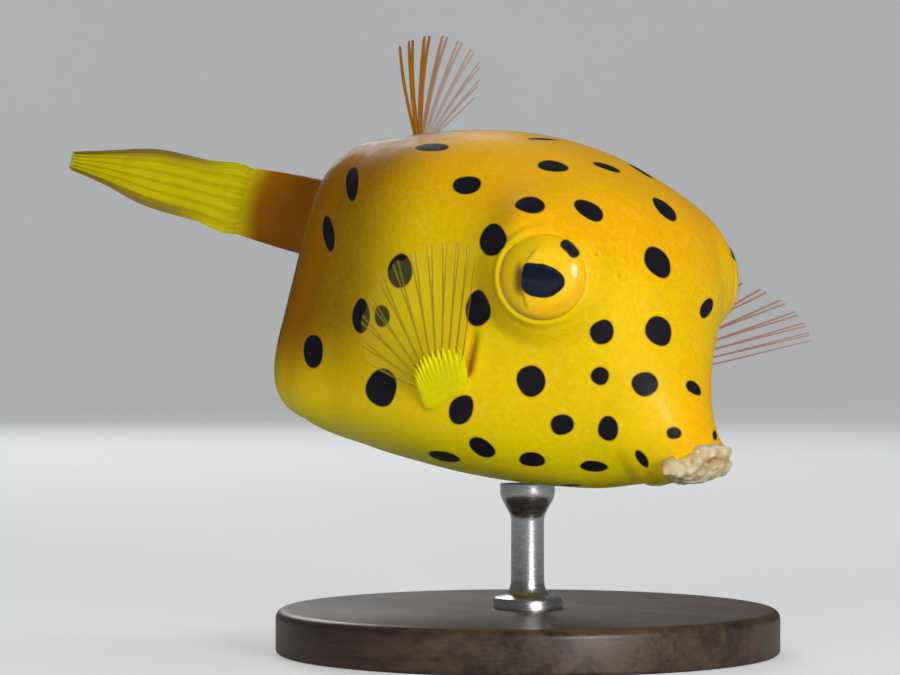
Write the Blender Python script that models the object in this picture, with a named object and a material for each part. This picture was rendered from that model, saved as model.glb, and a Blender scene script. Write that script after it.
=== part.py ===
"""A young yellow boxfish, life size, swimming on a plain display stand.

The fish is built in its own frame in millimetres: x towards the snout, y to its left, z up. One
empty pitches it nose-down and lifts it over the stand. The base rests on the ground at z = 0.
"""

import math

import bmesh
import bpy
import numpy as np
from mathutils import Matrix, Vector

MM = 0.001
GAP = 0.3  # between neighbouring pieces

# How the fish hangs over the stand
PITCH = 8.5  # degrees, nose down
BASE_RADIUS = 23.0
BASE_THICK = 4.0
BASE_BEVEL = 0.8
BELLY_CLEARANCE = 11.0
BELLY_DEPTH = 17.1  # below the fish's own origin, once it is pitched
ROD_RADIUS = 1.5
ROD_FLARE = 2.5
ROD_FOOT = 3.2
ROD_X = -2.5  # where the rod meets the belly
FISH_HEIGHT = BASE_THICK + BELLY_CLEARANCE + BELLY_DEPTH

# The carapace in sections from the lips (0) to the root of the tail (1). Each lies in the plane
# through its point on the back and its point on the belly, given as x and z.
BACK_LINE = (
    (0.00, 20.1, -10.0),
    (0.05, 18.9, -8.4),
    (0.10, 17.7, -6.0),
    (0.16, 16.7, -3.0),
    (0.24, 15.9, 1.0),
    (0.33, 14.6, 5.3),
    (0.42, 11.6, 9.3),
    (0.52, 6.4, 12.5),
    (0.64, -1.0, 14.5),
    (0.76, -8.6, 14.6),
    (0.87, -15.8, 13.3),
    (0.94, -20.2, 12.2),
    (0.98, -22.0, 11.0),
    (1.00, -22.7, 8.4),
)
BELLY_LINE = (
    (0.00, 16.3, -13.9),
    (0.05, 15.3, -14.3),
    (0.10, 14.2, -14.9),
    (0.16, 12.3, -15.4),
    (0.24, 9.2, -15.9),
    (0.33, 6.0, -16.2),
    (0.42, 2.6, -16.5),
    (0.52, -2.0, -16.7),
    (0.64, -7.5, -16.6),
    (0.76, -13.4, -16.2),
    (0.87, -19.2, -15.2),
    (0.94, -22.8, -13.4),
    (0.98, -24.4, -9.4),
    (1.00, -24.6, -1.2),
)
HALF_WIDTH = (
    (0.00, 3.7),
    (0.05, 3.9),
    (0.10, 4.5),
    (0.16, 5.6),
    (0.24, 7.2),
    (0.33, 9.5),
    (0.42, 11.8),
    (0.52, 13.5),
    (0.64, 14.2),
    (0.76, 14.0),
    (0.87, 13.0),
    (0.94, 11.3),
    (0.98, 8.0),
    (1.00, 3.8),
)
SQUARENESS = ((0.0, 2.0), (0.16, 2.1), (0.33, 2.6), (0.52, 3.4), (0.76, 4.0), (0.94, 3.8), (1.0, 2.2))
FLARE = ((0.0, 0.0), (0.24, 0.02), (0.52, 0.07), (0.76, 0.09), (0.94, 0.12), (1.0, 0.0))
WAIST = ((0.0, 0.0), (0.24, 0.0), (0.42, 0.04), (0.70, 0.06), (0.94, 0.05), (1.0, 0.0))
CAMBER = ((0.0, 0.0), (0.16, 0.04), (0.33, 0.08), (0.52, 0.13), (0.76, 0.14), (0.94, 0.07), (1.0, 0.0))
CARAPACE_RINGS = 40
CARAPACE_SIDES = 40

# The head ends at the gill slits, in an almost upright plane
HEAD_CUT_X = 3.2
HEAD_CUT_LEAN = 0.05
GILL_X, GILL_Z = 3.0, -4.8
GILL_SLIT = (0.5, 1.0, 2.9)  # half sizes: wide, deep, high
GILL_LEAN = 6.0  # degrees, top forward

# The eyes, in bulging brows
EYE_X, EYE_Z = 9.4, 3.2
EYE_RADIUS = 3.8
EYE_DOME = 1.85  # from its widest part outward
EYE_DEPTH = 3.2  # and inward
EYE_SUNK = 0.65  # its middle below the skin
EYE_YAW = 28.0  # degrees, forward of square to the side
EYE_LIFT = 4.0  # degrees
LID_RADIUS = 3.9
LID_THICK = 0.5
BROW_Y = 11.0
BROW_RISE = 3.3
BROW_SPREAD = 4.6
BROW_LIFT = 2.8
RIDGE_X, RIDGE_Z = 7.8, 9.3  # the bony corner over the eye
RIDGE_RISE = 1.5
RIDGE_SPREAD = 2.6
NOSTRIL_X, NOSTRIL_Z = 13.5, 3.9
NOSTRIL_RADIUS = 0.5
NOSTRIL_HOLE = 0.25

# The lips: a lumpy dome before the mouth section, parted by the line of the mouth
LIP_UPPER = 3.3
LIP_LOWER = 2.7
LIP_WIDTH = 3.9
LIP_DEPTH = 2.3
LIP_ROLL = 0.35
LIP_LUMP = 0.22
LIP_LUMPS = 7
MOUTH_X, MOUTH_Z = 20.4, -12.1
MOUTH_SLOPE = 31.0  # degrees, up towards its corners
MOUTH_OPENING = (1.1, 1.3, 0.3)  # half sizes

# The tail bends to the fish's right
TAIL_ROOT = (-23.6, 0.0, 3.3)
TAIL_BEND = 38.0  # degrees
TAIL_BEND_LENGTH = 8.0
TAIL_RISE = 6.5  # degrees
STEM_LENGTH = 12.0
STEM_HALF_HEIGHT = ((0.0, 4.6), (0.3, 3.9), (0.7, 3.6), (1.0, 3.3))
STEM_HALF_WIDTH = ((0.0, 3.5), (0.3, 2.5), (0.7, 1.7), (1.0, 1.1))
STEM_SIDES = 24
CAUDAL_LENGTH = 17.5
CAUDAL_RAYS = 10
CAUDAL_TOP = ((0.0, 3.2), (0.3, 3.1), (0.6, 2.9), (0.8, 1.9), (1.0, 0.9))
CAUDAL_LOW = ((0.0, -3.2), (0.3, -2.9), (0.6, -2.5), (0.8, -1.5), (1.0, -0.8))

# The upright fins, as rays fanned over a short base on the midline
DORSAL_BASE = (0.868, 0.918)  # along the carapace, front to back
DORSAL_RAYS = 9
DORSAL_LENGTH = ((0.0, 5.2), (0.3, 7.9), (0.6, 9.6), (1.0, 9.0))
DORSAL_LEAN = ((0.0, 42.0), (0.5, 17.0), (1.0, -7.0))  # degrees, forward of upright
DORSAL_SWAY = 1.2
ANAL_BASE = (0.930, 0.967)
ANAL_RAYS = 9
ANAL_LENGTH = ((0.0, 5.0), (0.4, 7.4), (1.0, 7.0))
ANAL_LEAN = ((0.0, 40.0), (0.5, 62.0), (1.0, 84.0))  # degrees, back from straight down
ANAL_SWAY = 5.0

# The breast fins: a fleshy pad on the flank that bears a fan of rays. Sizes lie in the fin's own
# plane: along its leading direction, then outward.
PECTORAL_X, PECTORAL_Z = 0.3, -8.5
PECTORAL_BASE = ((1.7, 0.7), (-2.2, -1.6))  # leading end, trailing end
PECTORAL_BASE_LINE = (0.913, 0.407, -0.049)  # on the right flank, forward
PECTORAL_SUNK = 1.2  # the pad's root below the skin
PECTORAL_PROUD = 0.4  # the fan's root above it
PAD_CENTRE = (1.2, 0.9)
PAD_RADIUS = 4.3
PAD_FROM, PAD_TO = 86.0, 172.0  # degrees round the pad's edge, leading to trailing
PAD_THICK = 2.1
PAD_EDGE = 1.1
PECTORAL_RAYS = 11
RAY_FROM, RAY_TO = 84.0, 164.0  # degrees
RAY_CROWDING = 2.2
PECTORAL_LENGTH = ((0.0, 11.4), (0.35, 11.2), (0.6, 9.6), (0.8, 7.2), (1.0, 4.6))
PECTORAL_POSE = {
    "right": ((0.913, 0.407, -0.049), (0.242, -0.437, 0.865)),
    "left": ((0.659, -0.251, -0.709), (0.680, 0.600, 0.420)),
}
PECTORAL_SHIFT = {"right": 0.0, "left": -2.0}  # of the fan, along its leading direction

# Fin thickness: on a ray and on the membrane between rays, at the root and at the tip
RAY_THICK = (1.0, 0.56)
WEB_THICK = (0.62, 0.5)
RAY_HALF_WIDTH = 0.27  # of the space between two rays
CAUDAL_STOUT = 1.3  # times as thick, as its rays lie folded together
FIN_SUNK = 1.0  # how deep the upright fins start below the skin


def read(table, place):
    """The values of a table at each place, on a smooth curve through its rows."""
    table = np.asarray(table, float)
    knots, values = table[:, 0], table[:, 1:]
    slopes = np.gradient(values, knots, axis=0)
    place = np.atleast_1d(place)
    i = np.clip(np.searchsorted(knots, place, side="right") - 1, 0, len(knots) - 2)
    step = (knots[i + 1] - knots[i])[:, None]
    t = (place - knots[i])[:, None] / step
    start = (2 * t**3 - 3 * t**2 + 1) * values[i] + (t**3 - 2 * t**2 + t) * step * slopes[i]
    end = (3 * t**2 - 2 * t**3) * values[i + 1] + (t**3 - t**2) * step * slopes[i + 1]
    return start + end


def carapace(place, angle):
    """Points of the carapace; the angle runs from the left side over the back, in radians."""
    place, angle = np.broadcast_arrays(np.asarray(place, float), np.asarray(angle, float))
    shape = place.shape
    place, angle = place.ravel(), angle.ravel()
    back, belly = read(BACK_LINE, place), read(BELLY_LINE, place)
    tables = (HALF_WIDTH, SQUARENESS, FLARE, WAIST, CAMBER)
    width, square, flare, waist, camber = (read(table, place)[:, 0] for table in tables)
    across = np.sign(np.cos(angle)) * np.abs(np.cos(angle)) ** (2 / square)
    up = np.sign(np.sin(angle)) * np.abs(np.sin(angle)) ** (2 / square)
    rise = up * (1 - camber * across**2)
    middle, half = (back + belly) / 2, (back - belly) / 2
    points = np.empty((len(place), 3))
    points[:, 0] = middle[:, 0] + half[:, 0] * rise
    points[:, 1] = width * across * (1 - flare * up) * (1 - waist * (1 - up**2) ** 2)
    points[:, 2] = middle[:, 1] + half[:, 1] * rise
    swelling = np.zeros(len(place))
    bumps = (
        (EYE_X, EYE_Z + BROW_LIFT, BROW_RISE, BROW_SPREAD),
        (RIDGE_X, RIDGE_Z, RIDGE_RISE, RIDGE_SPREAD),
    )
    for side in (-1, 1):
        for x, z, bump, spread in bumps:
            reach = ((points - np.array((x, side * BROW_Y, z))) ** 2).sum(axis=1)
            swelling += side * bump * np.exp(-reach / (2 * spread**2))
    points[:, 1] += swelling
    return points.reshape(*shape, 3)


def carapace_grid(lift=0.0):
    """Rings of points over the whole carapace, lifted off it along its normal."""
    place = np.linspace(0, 1, CARAPACE_RINGS)[:, None]
    angle = (np.arange(CARAPACE_SIDES) / CARAPACE_SIDES * math.tau)[None, :]
    points = carapace(place, angle)
    if lift:
        along = np.gradient(points, axis=0)
        around = np.roll(points, -1, axis=1) - np.roll(points, 1, axis=1)
        normal = np.cross(along, around)
        normal /= np.linalg.norm(normal, axis=2, keepdims=True)
        ends = {0: points[0].mean(axis=0) - points[1].mean(axis=0)}
        ends[-1] = points[-1].mean(axis=0) - points[-2].mean(axis=0)
        points = points + lift * normal
        for i, outward in ends.items():
            points[i] += lift * outward / np.linalg.norm(outward)
    return points


def flank(x, z, side):
    """The point of the carapace beside (x, z), and its outward normal. Side is -1 on the right."""
    place = np.linspace(0.08, 0.98, 240)[:, None]
    angle = np.radians(np.linspace(-60, 60, 161))[None, :]
    if side < 0:
        angle = math.pi - angle
    points = carapace(place, angle)
    miss = (points[..., 0] - x) ** 2 + (points[..., 2] - z) ** 2
    i, j = np.unravel_index(miss.argmin(), miss.shape)
    along = points[i + 1, j] - points[i - 1, j]
    around = points[i, j + 1] - points[i, j - 1]
    normal = Vector(np.cross(along, around)).normalized()
    if normal.y * side < 0:
        normal.negate()
    return Vector(points[i, j]), normal


def mesh_object(name, points, faces):
    """A closed mesh in millimetres, with its faces turned outward."""
    mesh = bpy.data.meshes.new(name)
    mesh.from_pydata([tuple(map(float, point)) for point in points], [], faces)
    shape = bmesh.new()
    shape.from_mesh(mesh)
    bmesh.ops.recalc_face_normals(shape, faces=shape.faces)
    shape.to_mesh(mesh)
    shape.free()
    obj = bpy.data.objects.new(name, mesh)
    bpy.context.scene.collection.objects.link(obj)
    return obj


def loft(name, rings):
    """A closed body through rings of points, with its two end rings filled."""
    rings = np.asarray(rings)
    count, sides = rings.shape[:2]
    points = list(rings.reshape(-1, 3)) + [rings[0].mean(axis=0), rings[-1].mean(axis=0)]
    faces = []
    for i in range(count - 1):
        for j in range(sides):
            k = (j + 1) % sides
            faces.append((i * sides + j, i * sides + k, (i + 1) * sides + k, (i + 1) * sides + j))
    first, last = count * sides, count * sides + 1
    for j in range(sides):
        k = (j + 1) % sides
        faces.append((first, k, j))
        faces.append((last, (count - 1) * sides + j, (count - 1) * sides + k))
    return mesh_object(name, points, faces)


def vane(name, middle, thickness):
    """A thin closed body about a curved sheet of points, split into triangles alike on both faces."""
    normal = np.cross(np.gradient(middle, axis=0), np.gradient(middle, axis=1))
    normal /= np.linalg.norm(normal, axis=2, keepdims=True)
    half = normal * thickness[..., None] / 2
    rows, columns = middle.shape[:2]
    other = rows * columns
    points = np.concatenate(((middle + half).reshape(-1, 3), (middle - half).reshape(-1, 3)))
    faces = []
    for i in range(rows - 1):
        for j in range(columns - 1):
            a, b = i * columns + j, i * columns + j + 1
            c, d = b + columns, a + columns
            faces += [(a, b, c), (a, c, d)]
            faces += [(other + a, other + c, other + b), (other + a, other + d, other + c)]
    rim = list(range(columns - 1))
    rim += [i * columns + columns - 1 for i in range(rows - 1)]
    rim += [(rows - 1) * columns + j for j in range(columns - 1, 0, -1)]
    rim += [i * columns for i in range(rows - 1, 0, -1)]
    for a, b in zip(rim, rim[1:] + rim[:1]):
        faces += [(a, other + a, other + b), (a, other + b, b)]
    return mesh_object(name, points, faces)


def ellipsoid(name, half_sizes, placing, segments=28, rings=16):
    """A ball stretched to its half sizes and put in place."""
    shape = bmesh.new()
    bmesh.ops.create_uvsphere(shape, u_segments=segments, v_segments=rings, radius=1.0)
    scale = Matrix.Diagonal((*half_sizes, 1.0))
    bmesh.ops.transform(shape, matrix=placing @ scale, verts=shape.verts)
    bmesh.ops.recalc_face_normals(shape, faces=shape.faces)
    mesh = bpy.data.meshes.new(name)
    shape.to_mesh(mesh)
    shape.free()
    obj = bpy.data.objects.new(name, mesh)
    bpy.context.scene.collection.objects.link(obj)
    return obj


def eyeball(name, placing, room=0.0):
    """A ball with a shallow dome outward and a deep back, grown all round by some room."""
    wide = EYE_RADIUS + room
    ball = ellipsoid(name, (wide, wide, EYE_DEPTH + room), Matrix.Identity(4))
    for vert in ball.data.vertices:
        if vert.co.z > 0:
            vert.co.z *= (EYE_DOME + room) / (EYE_DEPTH + room)
    ball.data.transform(placing)
    return ball


def tube_ring(name, path, radius, sides=8):
    """A closed ring of round section along a loop of points."""
    path = [Vector(point) for point in path]
    middle = sum(path, Vector()) / len(path)
    rings = []
    for i, point in enumerate(path):
        along = (path[(i + 1) % len(path)] - path[i - 1]).normalized()
        outward = (point - middle)
        outward = (outward - along * outward.dot(along)).normalized()
        upward = along.cross(outward)
        turns = [math.tau * k / sides for k in range(sides)]
        rings.append([point + radius * (math.cos(a) * outward + math.sin(a) * upward) for a in turns])
    points = [corner for ring in rings for corner in ring]
    faces = []
    for i in range(len(path)):
        following = (i + 1) % len(path)
        for j in range(sides):
            k = (j + 1) % sides
            faces.append((i * sides + j, i * sides + k, following * sides + k, following * sides + j))
    return mesh_object(name, points, faces)


def boolean(obj, operation, others, solver="EXACT"):
    """Join the others to the object, or cut them from it, and remove them."""
    group = bpy.data.collections.new("pieces")
    bpy.context.scene.collection.children.link(group)
    for other in others:
        group.objects.link(other)
    modifier = obj.modifiers.new(operation, "BOOLEAN")
    modifier.operation = operation
    modifier.operand_type = "COLLECTION"
    modifier.collection = group
    modifier.solver = solver
    shaped = obj.evaluated_get(bpy.context.evaluated_depsgraph_get())
    mesh = bpy.data.meshes.new_from_object(shaped)
    obj.modifiers.clear()
    obj.data = mesh
    for other in others:
        bpy.data.objects.remove(other)
    bpy.data.collections.remove(group)
    keep_largest(obj)
    return obj


def keep_largest(obj):
    """Drop every closed surface of an object but the largest."""
    shape = bmesh.new()
    shape.from_mesh(obj.data)
    unseen = set(shape.verts)
    largest = []
    while unseen:
        found = [unseen.pop()]
        island = []
        while found:
            vert = found.pop()
            island.append(vert)
            for edge in vert.link_edges:
                other = edge.other_vert(vert)
                if other in unseen:
                    unseen.remove(other)
                    found.append(other)
        if len(island) > len(largest):
            largest = island
    kept = set(largest)
    bmesh.ops.delete(shape, geom=[vert for vert in shape.verts if vert not in kept], context="VERTS")
    shape.to_mesh(obj.data)
    shape.free()


def keep_side(obj, point, direction):
    """Cut an object by a plane and keep the closed half that the direction points to."""
    shape = bmesh.new()
    shape.from_mesh(obj.data)
    everything = shape.verts[:] + shape.edges[:] + shape.faces[:]
    cut = bmesh.ops.bisect_plane(
        shape, geom=everything, plane_co=point, plane_no=direction, dist=1e-5, clear_inner=True
    )
    edges = [item for item in cut["geom_cut"] if isinstance(item, bmesh.types.BMEdge)]
    bmesh.ops.holes_fill(shape, edges=edges, sides=0)
    bmesh.ops.triangulate(shape, faces=[face for face in shape.faces if len(face.verts) > 4])
    bmesh.ops.recalc_face_normals(shape, faces=shape.faces)
    shape.to_mesh(obj.data)
    shape.free()
    return obj


def copy_of(obj, name):
    """A second object with its own copy of the mesh."""
    twin = bpy.data.objects.new(name, obj.data.copy())
    bpy.context.scene.collection.objects.link(twin)
    return twin


def clear_of_body(obj):
    """Trim an object so that it stands off the carapace by the usual gap."""
    return boolean(obj, "DIFFERENCE", [loft("clearance", carapace_grid(GAP))])


def facing(centre, outward, upward=(0, 0, 1)):
    """A placing whose local z points outward."""
    z = Vector(outward).normalized()
    x = Vector(upward).cross(z).normalized()
    y = z.cross(x)
    placing = Matrix((x, y, z)).transposed().to_4x4()
    placing.translation = Vector(centre)
    return placing


def eye_placing(side):
    """Where an eye sits, with its axis along local z."""
    yaw, lift = math.radians(EYE_YAW), math.radians(EYE_LIFT)
    level = math.cos(lift)
    outward = Vector((math.sin(yaw) * level, side * math.cos(yaw) * level, math.sin(lift)))
    skin, _ = flank(EYE_X, EYE_Z, side)
    return facing(skin - EYE_SUNK * outward, outward)


def ring_on_skin(placing, radius, count=28):
    """A loop of points on the carapace, round an axis."""
    side = 1 if placing.translation.y > 0 else -1
    loop = []
    for i in range(count):
        turn = math.tau * i / count
        point = placing @ Vector((radius * math.cos(turn), radius * math.sin(turn), 0))
        skin, _ = flank(point.x, point.z, side)
        loop.append(skin)
    return loop


def head_and_torso():
    """The carapace, parted at the gill slits, with lids, sockets, nostrils and slits."""
    whole = loft("torso", carapace_grid())
    slits = {"head": [], "torso": []}
    for side in (-1, 1):
        skin, _ = flank(GILL_X, GILL_Z, side)
        placing = Matrix.Translation(skin) @ Matrix.Rotation(math.radians(GILL_LEAN), 4, "Y")
        for node in slits:
            slits[node].append(ellipsoid("slit", GILL_SLIT, placing, 16, 16))
    lean = Vector((1, 0, -HEAD_CUT_LEAN)).normalized()
    head = keep_side(copy_of(whole, "head"), Vector((HEAD_CUT_X, 0, 0)) + lean * GAP / 2, lean)
    torso = keep_side(whole, Vector((HEAD_CUT_X, 0, 0)) - lean * GAP / 2, -lean)
    folds, hollows = [], []
    for side in (-1, 1):
        eye = eye_placing(side)
        folds.append(tube_ring("lid", ring_on_skin(eye, LID_RADIUS), LID_THICK))
        hollows.append(eyeball("socket", eye, GAP))
        skin, normal = flank(NOSTRIL_X, NOSTRIL_Z, side)
        nostril = facing(skin, normal)
        folds.append(tube_ring("nostril", ring_on_skin(nostril, NOSTRIL_RADIUS, 12), NOSTRIL_HOLE, 6))
        depth = (NOSTRIL_HOLE, NOSTRIL_HOLE, 3 * NOSTRIL_HOLE)
        hollows.append(ellipsoid("hole", depth, nostril, 10, 8))
    boolean(head, "UNION", folds)
    boolean(head, "DIFFERENCE", hollows + slits["head"])
    boolean(torso, "DIFFERENCE", slits["torso"])
    return head, torso


def eyes():
    """Both eyeballs."""
    return eyeball("eye_right", eye_placing(-1)), eyeball("eye_left", eye_placing(1))


def lips():
    """Both lips, from one lumpy dome."""
    top, low = np.array(BACK_LINE[0][1:]), np.array(BELLY_LINE[0][1:])
    upward = Vector((top[0] - low[0], 0, top[1] - low[1])).normalized()
    forward = Vector((upward.z, 0, -upward.x))
    middle = Vector(((top[0] + low[0]) / 2, 0, (top[1] + low[1]) / 2)) + forward * GAP
    across = Vector((0, 1, 0))
    sides = 32
    rings = []
    for q in (0.0, 0.08, 0.2, 0.34, 0.48, 0.62, 0.76, 0.88, 0.96):
        swell = 1 + LIP_ROLL / LIP_WIDTH * math.sin(math.pi * min(1.0, 2.2 * q))
        shrink = math.cos(q * math.pi / 2) ** 0.75 * swell
        ahead = LIP_DEPTH * math.sin(q * math.pi / 2)
        ring = []
        for k in range(sides):
            turn = math.tau * k / sides
            height = (LIP_UPPER if math.sin(turn) > 0 else LIP_LOWER) * math.sin(turn)
            lump = math.sin(LIP_LUMPS * turn + 9 * q) * math.sin(math.pi * q) ** 0.5
            flat = shrink * (1 + LIP_LUMP / LIP_WIDTH * lump)
            spread = across * (LIP_WIDTH * math.cos(turn)) + upward * height
            ring.append(middle + forward * ahead + spread * flat)
        rings.append(ring)
    whole = loft("lip_lower", rings)
    slope = math.radians(MOUTH_SLOPE)
    line = Vector((MOUTH_X, 0, MOUTH_Z))
    square = Vector((math.sin(slope), 0, math.cos(slope)))
    opening = Matrix.Translation(line) @ Matrix.Rotation(slope, 4, "Y")
    upper = keep_side(copy_of(whole, "lip_upper"), line + square * GAP / 2, square)
    lower = keep_side(whole, line - square * GAP / 2, -square)
    for lip in (upper, lower):
        boolean(lip, "DIFFERENCE", [ellipsoid("opening", MOUTH_OPENING, opening, 20, 12)])
    return upper, lower


def tail_path(distance):
    """Points along the tail's middle, with the direction there."""
    steps = 120
    reach = np.linspace(0, 1, steps + 1)[:, None] * np.atleast_1d(distance)[None, :]
    bend = math.radians(TAIL_BEND) * np.clip(reach / TAIL_BEND_LENGTH, 0, 1)
    rise = math.radians(TAIL_RISE)
    level = math.cos(rise)
    upward = np.full_like(bend, math.sin(rise))
    heading = np.stack((-np.cos(bend) * level, -np.sin(bend) * level, upward), -1)
    mean = (heading[:-1] + heading[1:]).mean(axis=0) / 2
    return np.array(TAIL_ROOT) + mean * np.atleast_1d(distance)[:, None], heading[-1]


def tail_stem():
    """The tail stem, a flattening tube from the back of the carapace."""
    part = np.linspace(0, 1, 14)
    middle, heading = tail_path(part * STEM_LENGTH)
    height, width = read(STEM_HALF_HEIGHT, part)[:, 0], read(STEM_HALF_WIDTH, part)[:, 0]
    rings = []
    for i in range(len(part)):
        ahead = Vector(heading[i])
        side = Vector((0, 0, 1)).cross(ahead).normalized()
        upward = ahead.cross(side)
        ring = []
        for k in range(STEM_SIDES):
            turn = math.tau * k / STEM_SIDES
            spread = side * width[i] * math.cos(turn) + upward * height[i] * math.sin(turn)
            ring.append(Vector(middle[i]) + spread)
        rings.append(ring)
    return clear_of_body(loft("tail_stem", rings))


def ray_columns(rays):
    """Places across a fin, counted in rays, and how much each belongs to a ray."""
    places, weights = [], []
    for ray in range(rays):
        if ray > 0:
            places.append(ray - RAY_HALF_WIDTH)
            weights.append(0.0)
        places.append(float(ray))
        weights.append(1.0)
        if ray < rays - 1:
            places.append(ray + RAY_HALF_WIDTH)
            weights.append(0.0)
    return np.array(places) / (rays - 1), np.array(weights)


def fin_thickness(weights, along, scale=1.0):
    """The thickness of a fin, raised on its rays, from root to tip."""
    ray = RAY_THICK[0] + (RAY_THICK[1] - RAY_THICK[0]) * along
    web = WEB_THICK[0] + (WEB_THICK[1] - WEB_THICK[0]) * along
    return scale * (web[:, None] + (ray - web)[:, None] * weights[None, :])


def caudal_fin():
    """The closed tail fin."""
    across, weights = ray_columns(CAUDAL_RAYS)
    along = np.linspace(0, 1, 9)
    middle, heading = tail_path(STEM_LENGTH + GAP + along * CAUDAL_LENGTH)
    top, low = read(CAUDAL_TOP, along), read(CAUDAL_LOW, along)
    side = np.cross((0, 0, 1), heading)
    side /= np.linalg.norm(side, axis=1, keepdims=True)
    upward = np.cross(heading, side)
    height = top + (low - top) * across[None, :]
    sheet = middle[:, None, :] + upward[:, None, :] * height[..., None]
    return vane("caudal_fin", sheet, fin_thickness(weights, along, CAUDAL_STOUT))


def midline_fin(name, base, rays, lengths, leans, sway, upward):
    """A fin on the back or the belly: its rays fan from its base and sway to one side."""
    across, weights = ray_columns(rays)
    along = np.linspace(0, 1, 7)
    place = base[0] + (base[1] - base[0]) * across
    foot = carapace(place, math.copysign(math.pi / 2, upward))
    lean = np.radians(read(leans, across)[:, 0])
    direction = np.stack((upward * np.sin(lean), np.zeros_like(lean), upward * np.cos(lean)), -1)
    length = read(lengths, across)
    reach = -FIN_SUNK + (length[None, :, 0] + FIN_SUNK) * along[:, None]
    sheet = foot[None] + direction[None] * reach[..., None]
    sheet[..., 1] += sway * np.clip(reach / length.max(), 0, 1) ** 2
    return clear_of_body(vane(name, sheet, fin_thickness(weights, along)))


def pectoral_points(side_name, part, across):
    """Where the root, the pad's edge and the tips lie across a breast fin."""
    side = -1 if side_name == "right" else 1
    leading, outward = (np.array(axis) for axis in PECTORAL_POSE[side_name])
    forward = np.array(PECTORAL_BASE_LINE) * (1, -side, 1)
    skin, normal = flank(PECTORAL_X, PECTORAL_Z, side)
    skin, normal = np.array(skin), np.array(normal)
    upward = np.array((0, 0, 1.0))
    front, rear = (np.array(end) for end in PECTORAL_BASE)
    base = front + (rear - front) * across[:, None]
    root = skin + base[:, :1] * forward + base[:, 1:] * upward
    if part == "root":
        return root - normal * PECTORAL_SUNK
    leading_shift = PECTORAL_SHIFT[side_name] * leading
    edge_turn = np.radians(PAD_FROM + (PAD_TO - PAD_FROM) * across)
    edge = np.array(PAD_CENTRE) + PAD_RADIUS * np.stack((np.cos(edge_turn), np.sin(edge_turn)), -1)
    start = skin + leading_shift + normal * PECTORAL_PROUD
    start = start + edge[:, :1] * leading + edge[:, 1:] * outward
    if part == "edge":
        return start
    ray_turn = np.radians(RAY_FROM + (RAY_TO - RAY_FROM) * across**RAY_CROWDING)
    length = read(PECTORAL_LENGTH, across)
    ray = np.cos(ray_turn)[:, None] * leading + np.sin(ray_turn)[:, None] * outward
    return start + ray * length


def pectoral_pad(side_name):
    """The fleshy root of a breast fin, rounded at its ends."""
    across = np.linspace(0, 1, 9)
    along = np.linspace(0, 1, 7)
    root, edge = pectoral_points(side_name, "root", across), pectoral_points(side_name, "edge", across)
    length = np.linalg.norm(edge - root, axis=1)[None, :]
    share = along[:, None] * (1 - GAP / length)
    sheet = root[None] + (edge - root)[None] * share[..., None]
    round_end = np.sqrt(np.clip(1 - (2 * across - 1) ** 4, 0.16, 1))
    thickness = (PAD_THICK + (PAD_EDGE - PAD_THICK) * along[:, None]) * round_end[None, :]
    return clear_of_body(vane("pectoral_pad_" + side_name, sheet, thickness))


def pectoral_fin(side_name):
    """The fan of rays and membrane beyond a breast fin's pad."""
    across, weights = ray_columns(PECTORAL_RAYS)
    along = np.linspace(0, 1, 7)
    edge, tip = pectoral_points(side_name, "edge", across), pectoral_points(side_name, "tip", across)
    sheet = edge[None] + (tip - edge)[None] * along[:, None, None]
    return vane("pectoral_fin_" + side_name, sheet, fin_thickness(weights, along))


def turned(name, profile, sides):
    """An upright turned body from a profile of radius and height."""
    rings = []
    for radius, height in profile:
        turns = [math.tau * k / sides for k in range(sides)]
        rings.append([(radius * math.cos(a), radius * math.sin(a), height) for a in turns])
    return loft(name, rings)


def stand_base():
    """The round base, centred under the rod, with softened edges."""
    profile = (
        (BASE_RADIUS - BASE_BEVEL / 2, 0.0),
        (BASE_RADIUS, BASE_BEVEL / 2),
        (BASE_RADIUS, BASE_THICK - BASE_BEVEL),
        (BASE_RADIUS - BASE_BEVEL * 0.3, BASE_THICK - BASE_BEVEL * 0.3),
        (BASE_RADIUS - BASE_BEVEL, BASE_THICK),
    )
    return turned("stand_base", profile, 64)


def stand_rod(pose):
    """The rod, with a small foot on the base and a flare that fits the belly."""
    bottom = BASE_THICK + GAP
    top = FISH_HEIGHT - BELLY_DEPTH
    profile = [
        (ROD_FOOT, bottom),
        (ROD_FOOT, bottom + 0.7),
        (ROD_FOOT - 0.3, bottom + 1.0),
        (ROD_RADIUS, bottom + 1.4),
        (ROD_RADIUS, top - 3.0),
        (ROD_RADIUS + 0.2, top - 2.0),
        (ROD_FLARE - 0.3, top - 1.2),
        (ROD_FLARE, top - 0.6),
        (ROD_FLARE, top + 6.0),
    ]
    rod = turned("stand_rod", profile, 24)
    body = loft("clearance", carapace_grid(GAP))
    body.data.transform(pose)
    return boolean(rod, "DIFFERENCE", [body])


MATERIALS = {
    "skin": ((0.80, 0.45, 0.005), 0.42, 0.0),
    "fin": ((0.70, 0.42, 0.02), 0.35, 0.0),
    "lip": ((0.60, 0.47, 0.27), 0.55, 0.0),
    "eye": ((0.012, 0.015, 0.025), 0.08, 0.0),
    "stand_wood": ((0.035, 0.022, 0.015), 0.4, 0.0),
    "stand_metal": ((0.55, 0.55, 0.56), 0.3, 1.0),
}


def material(name):
    """A plain finish."""
    color, roughness, metallic = MATERIALS[name]
    finish = bpy.data.materials.new(name)
    finish.use_nodes = True
    shader = finish.node_tree.nodes["Principled BSDF"]
    shader.inputs["Base Color"].default_value = (*color, 1.0)
    shader.inputs["Roughness"].default_value = roughness
    shader.inputs["Metallic"].default_value = metallic
    finish.diffuse_color = (*color, 1.0)
    return finish


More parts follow.
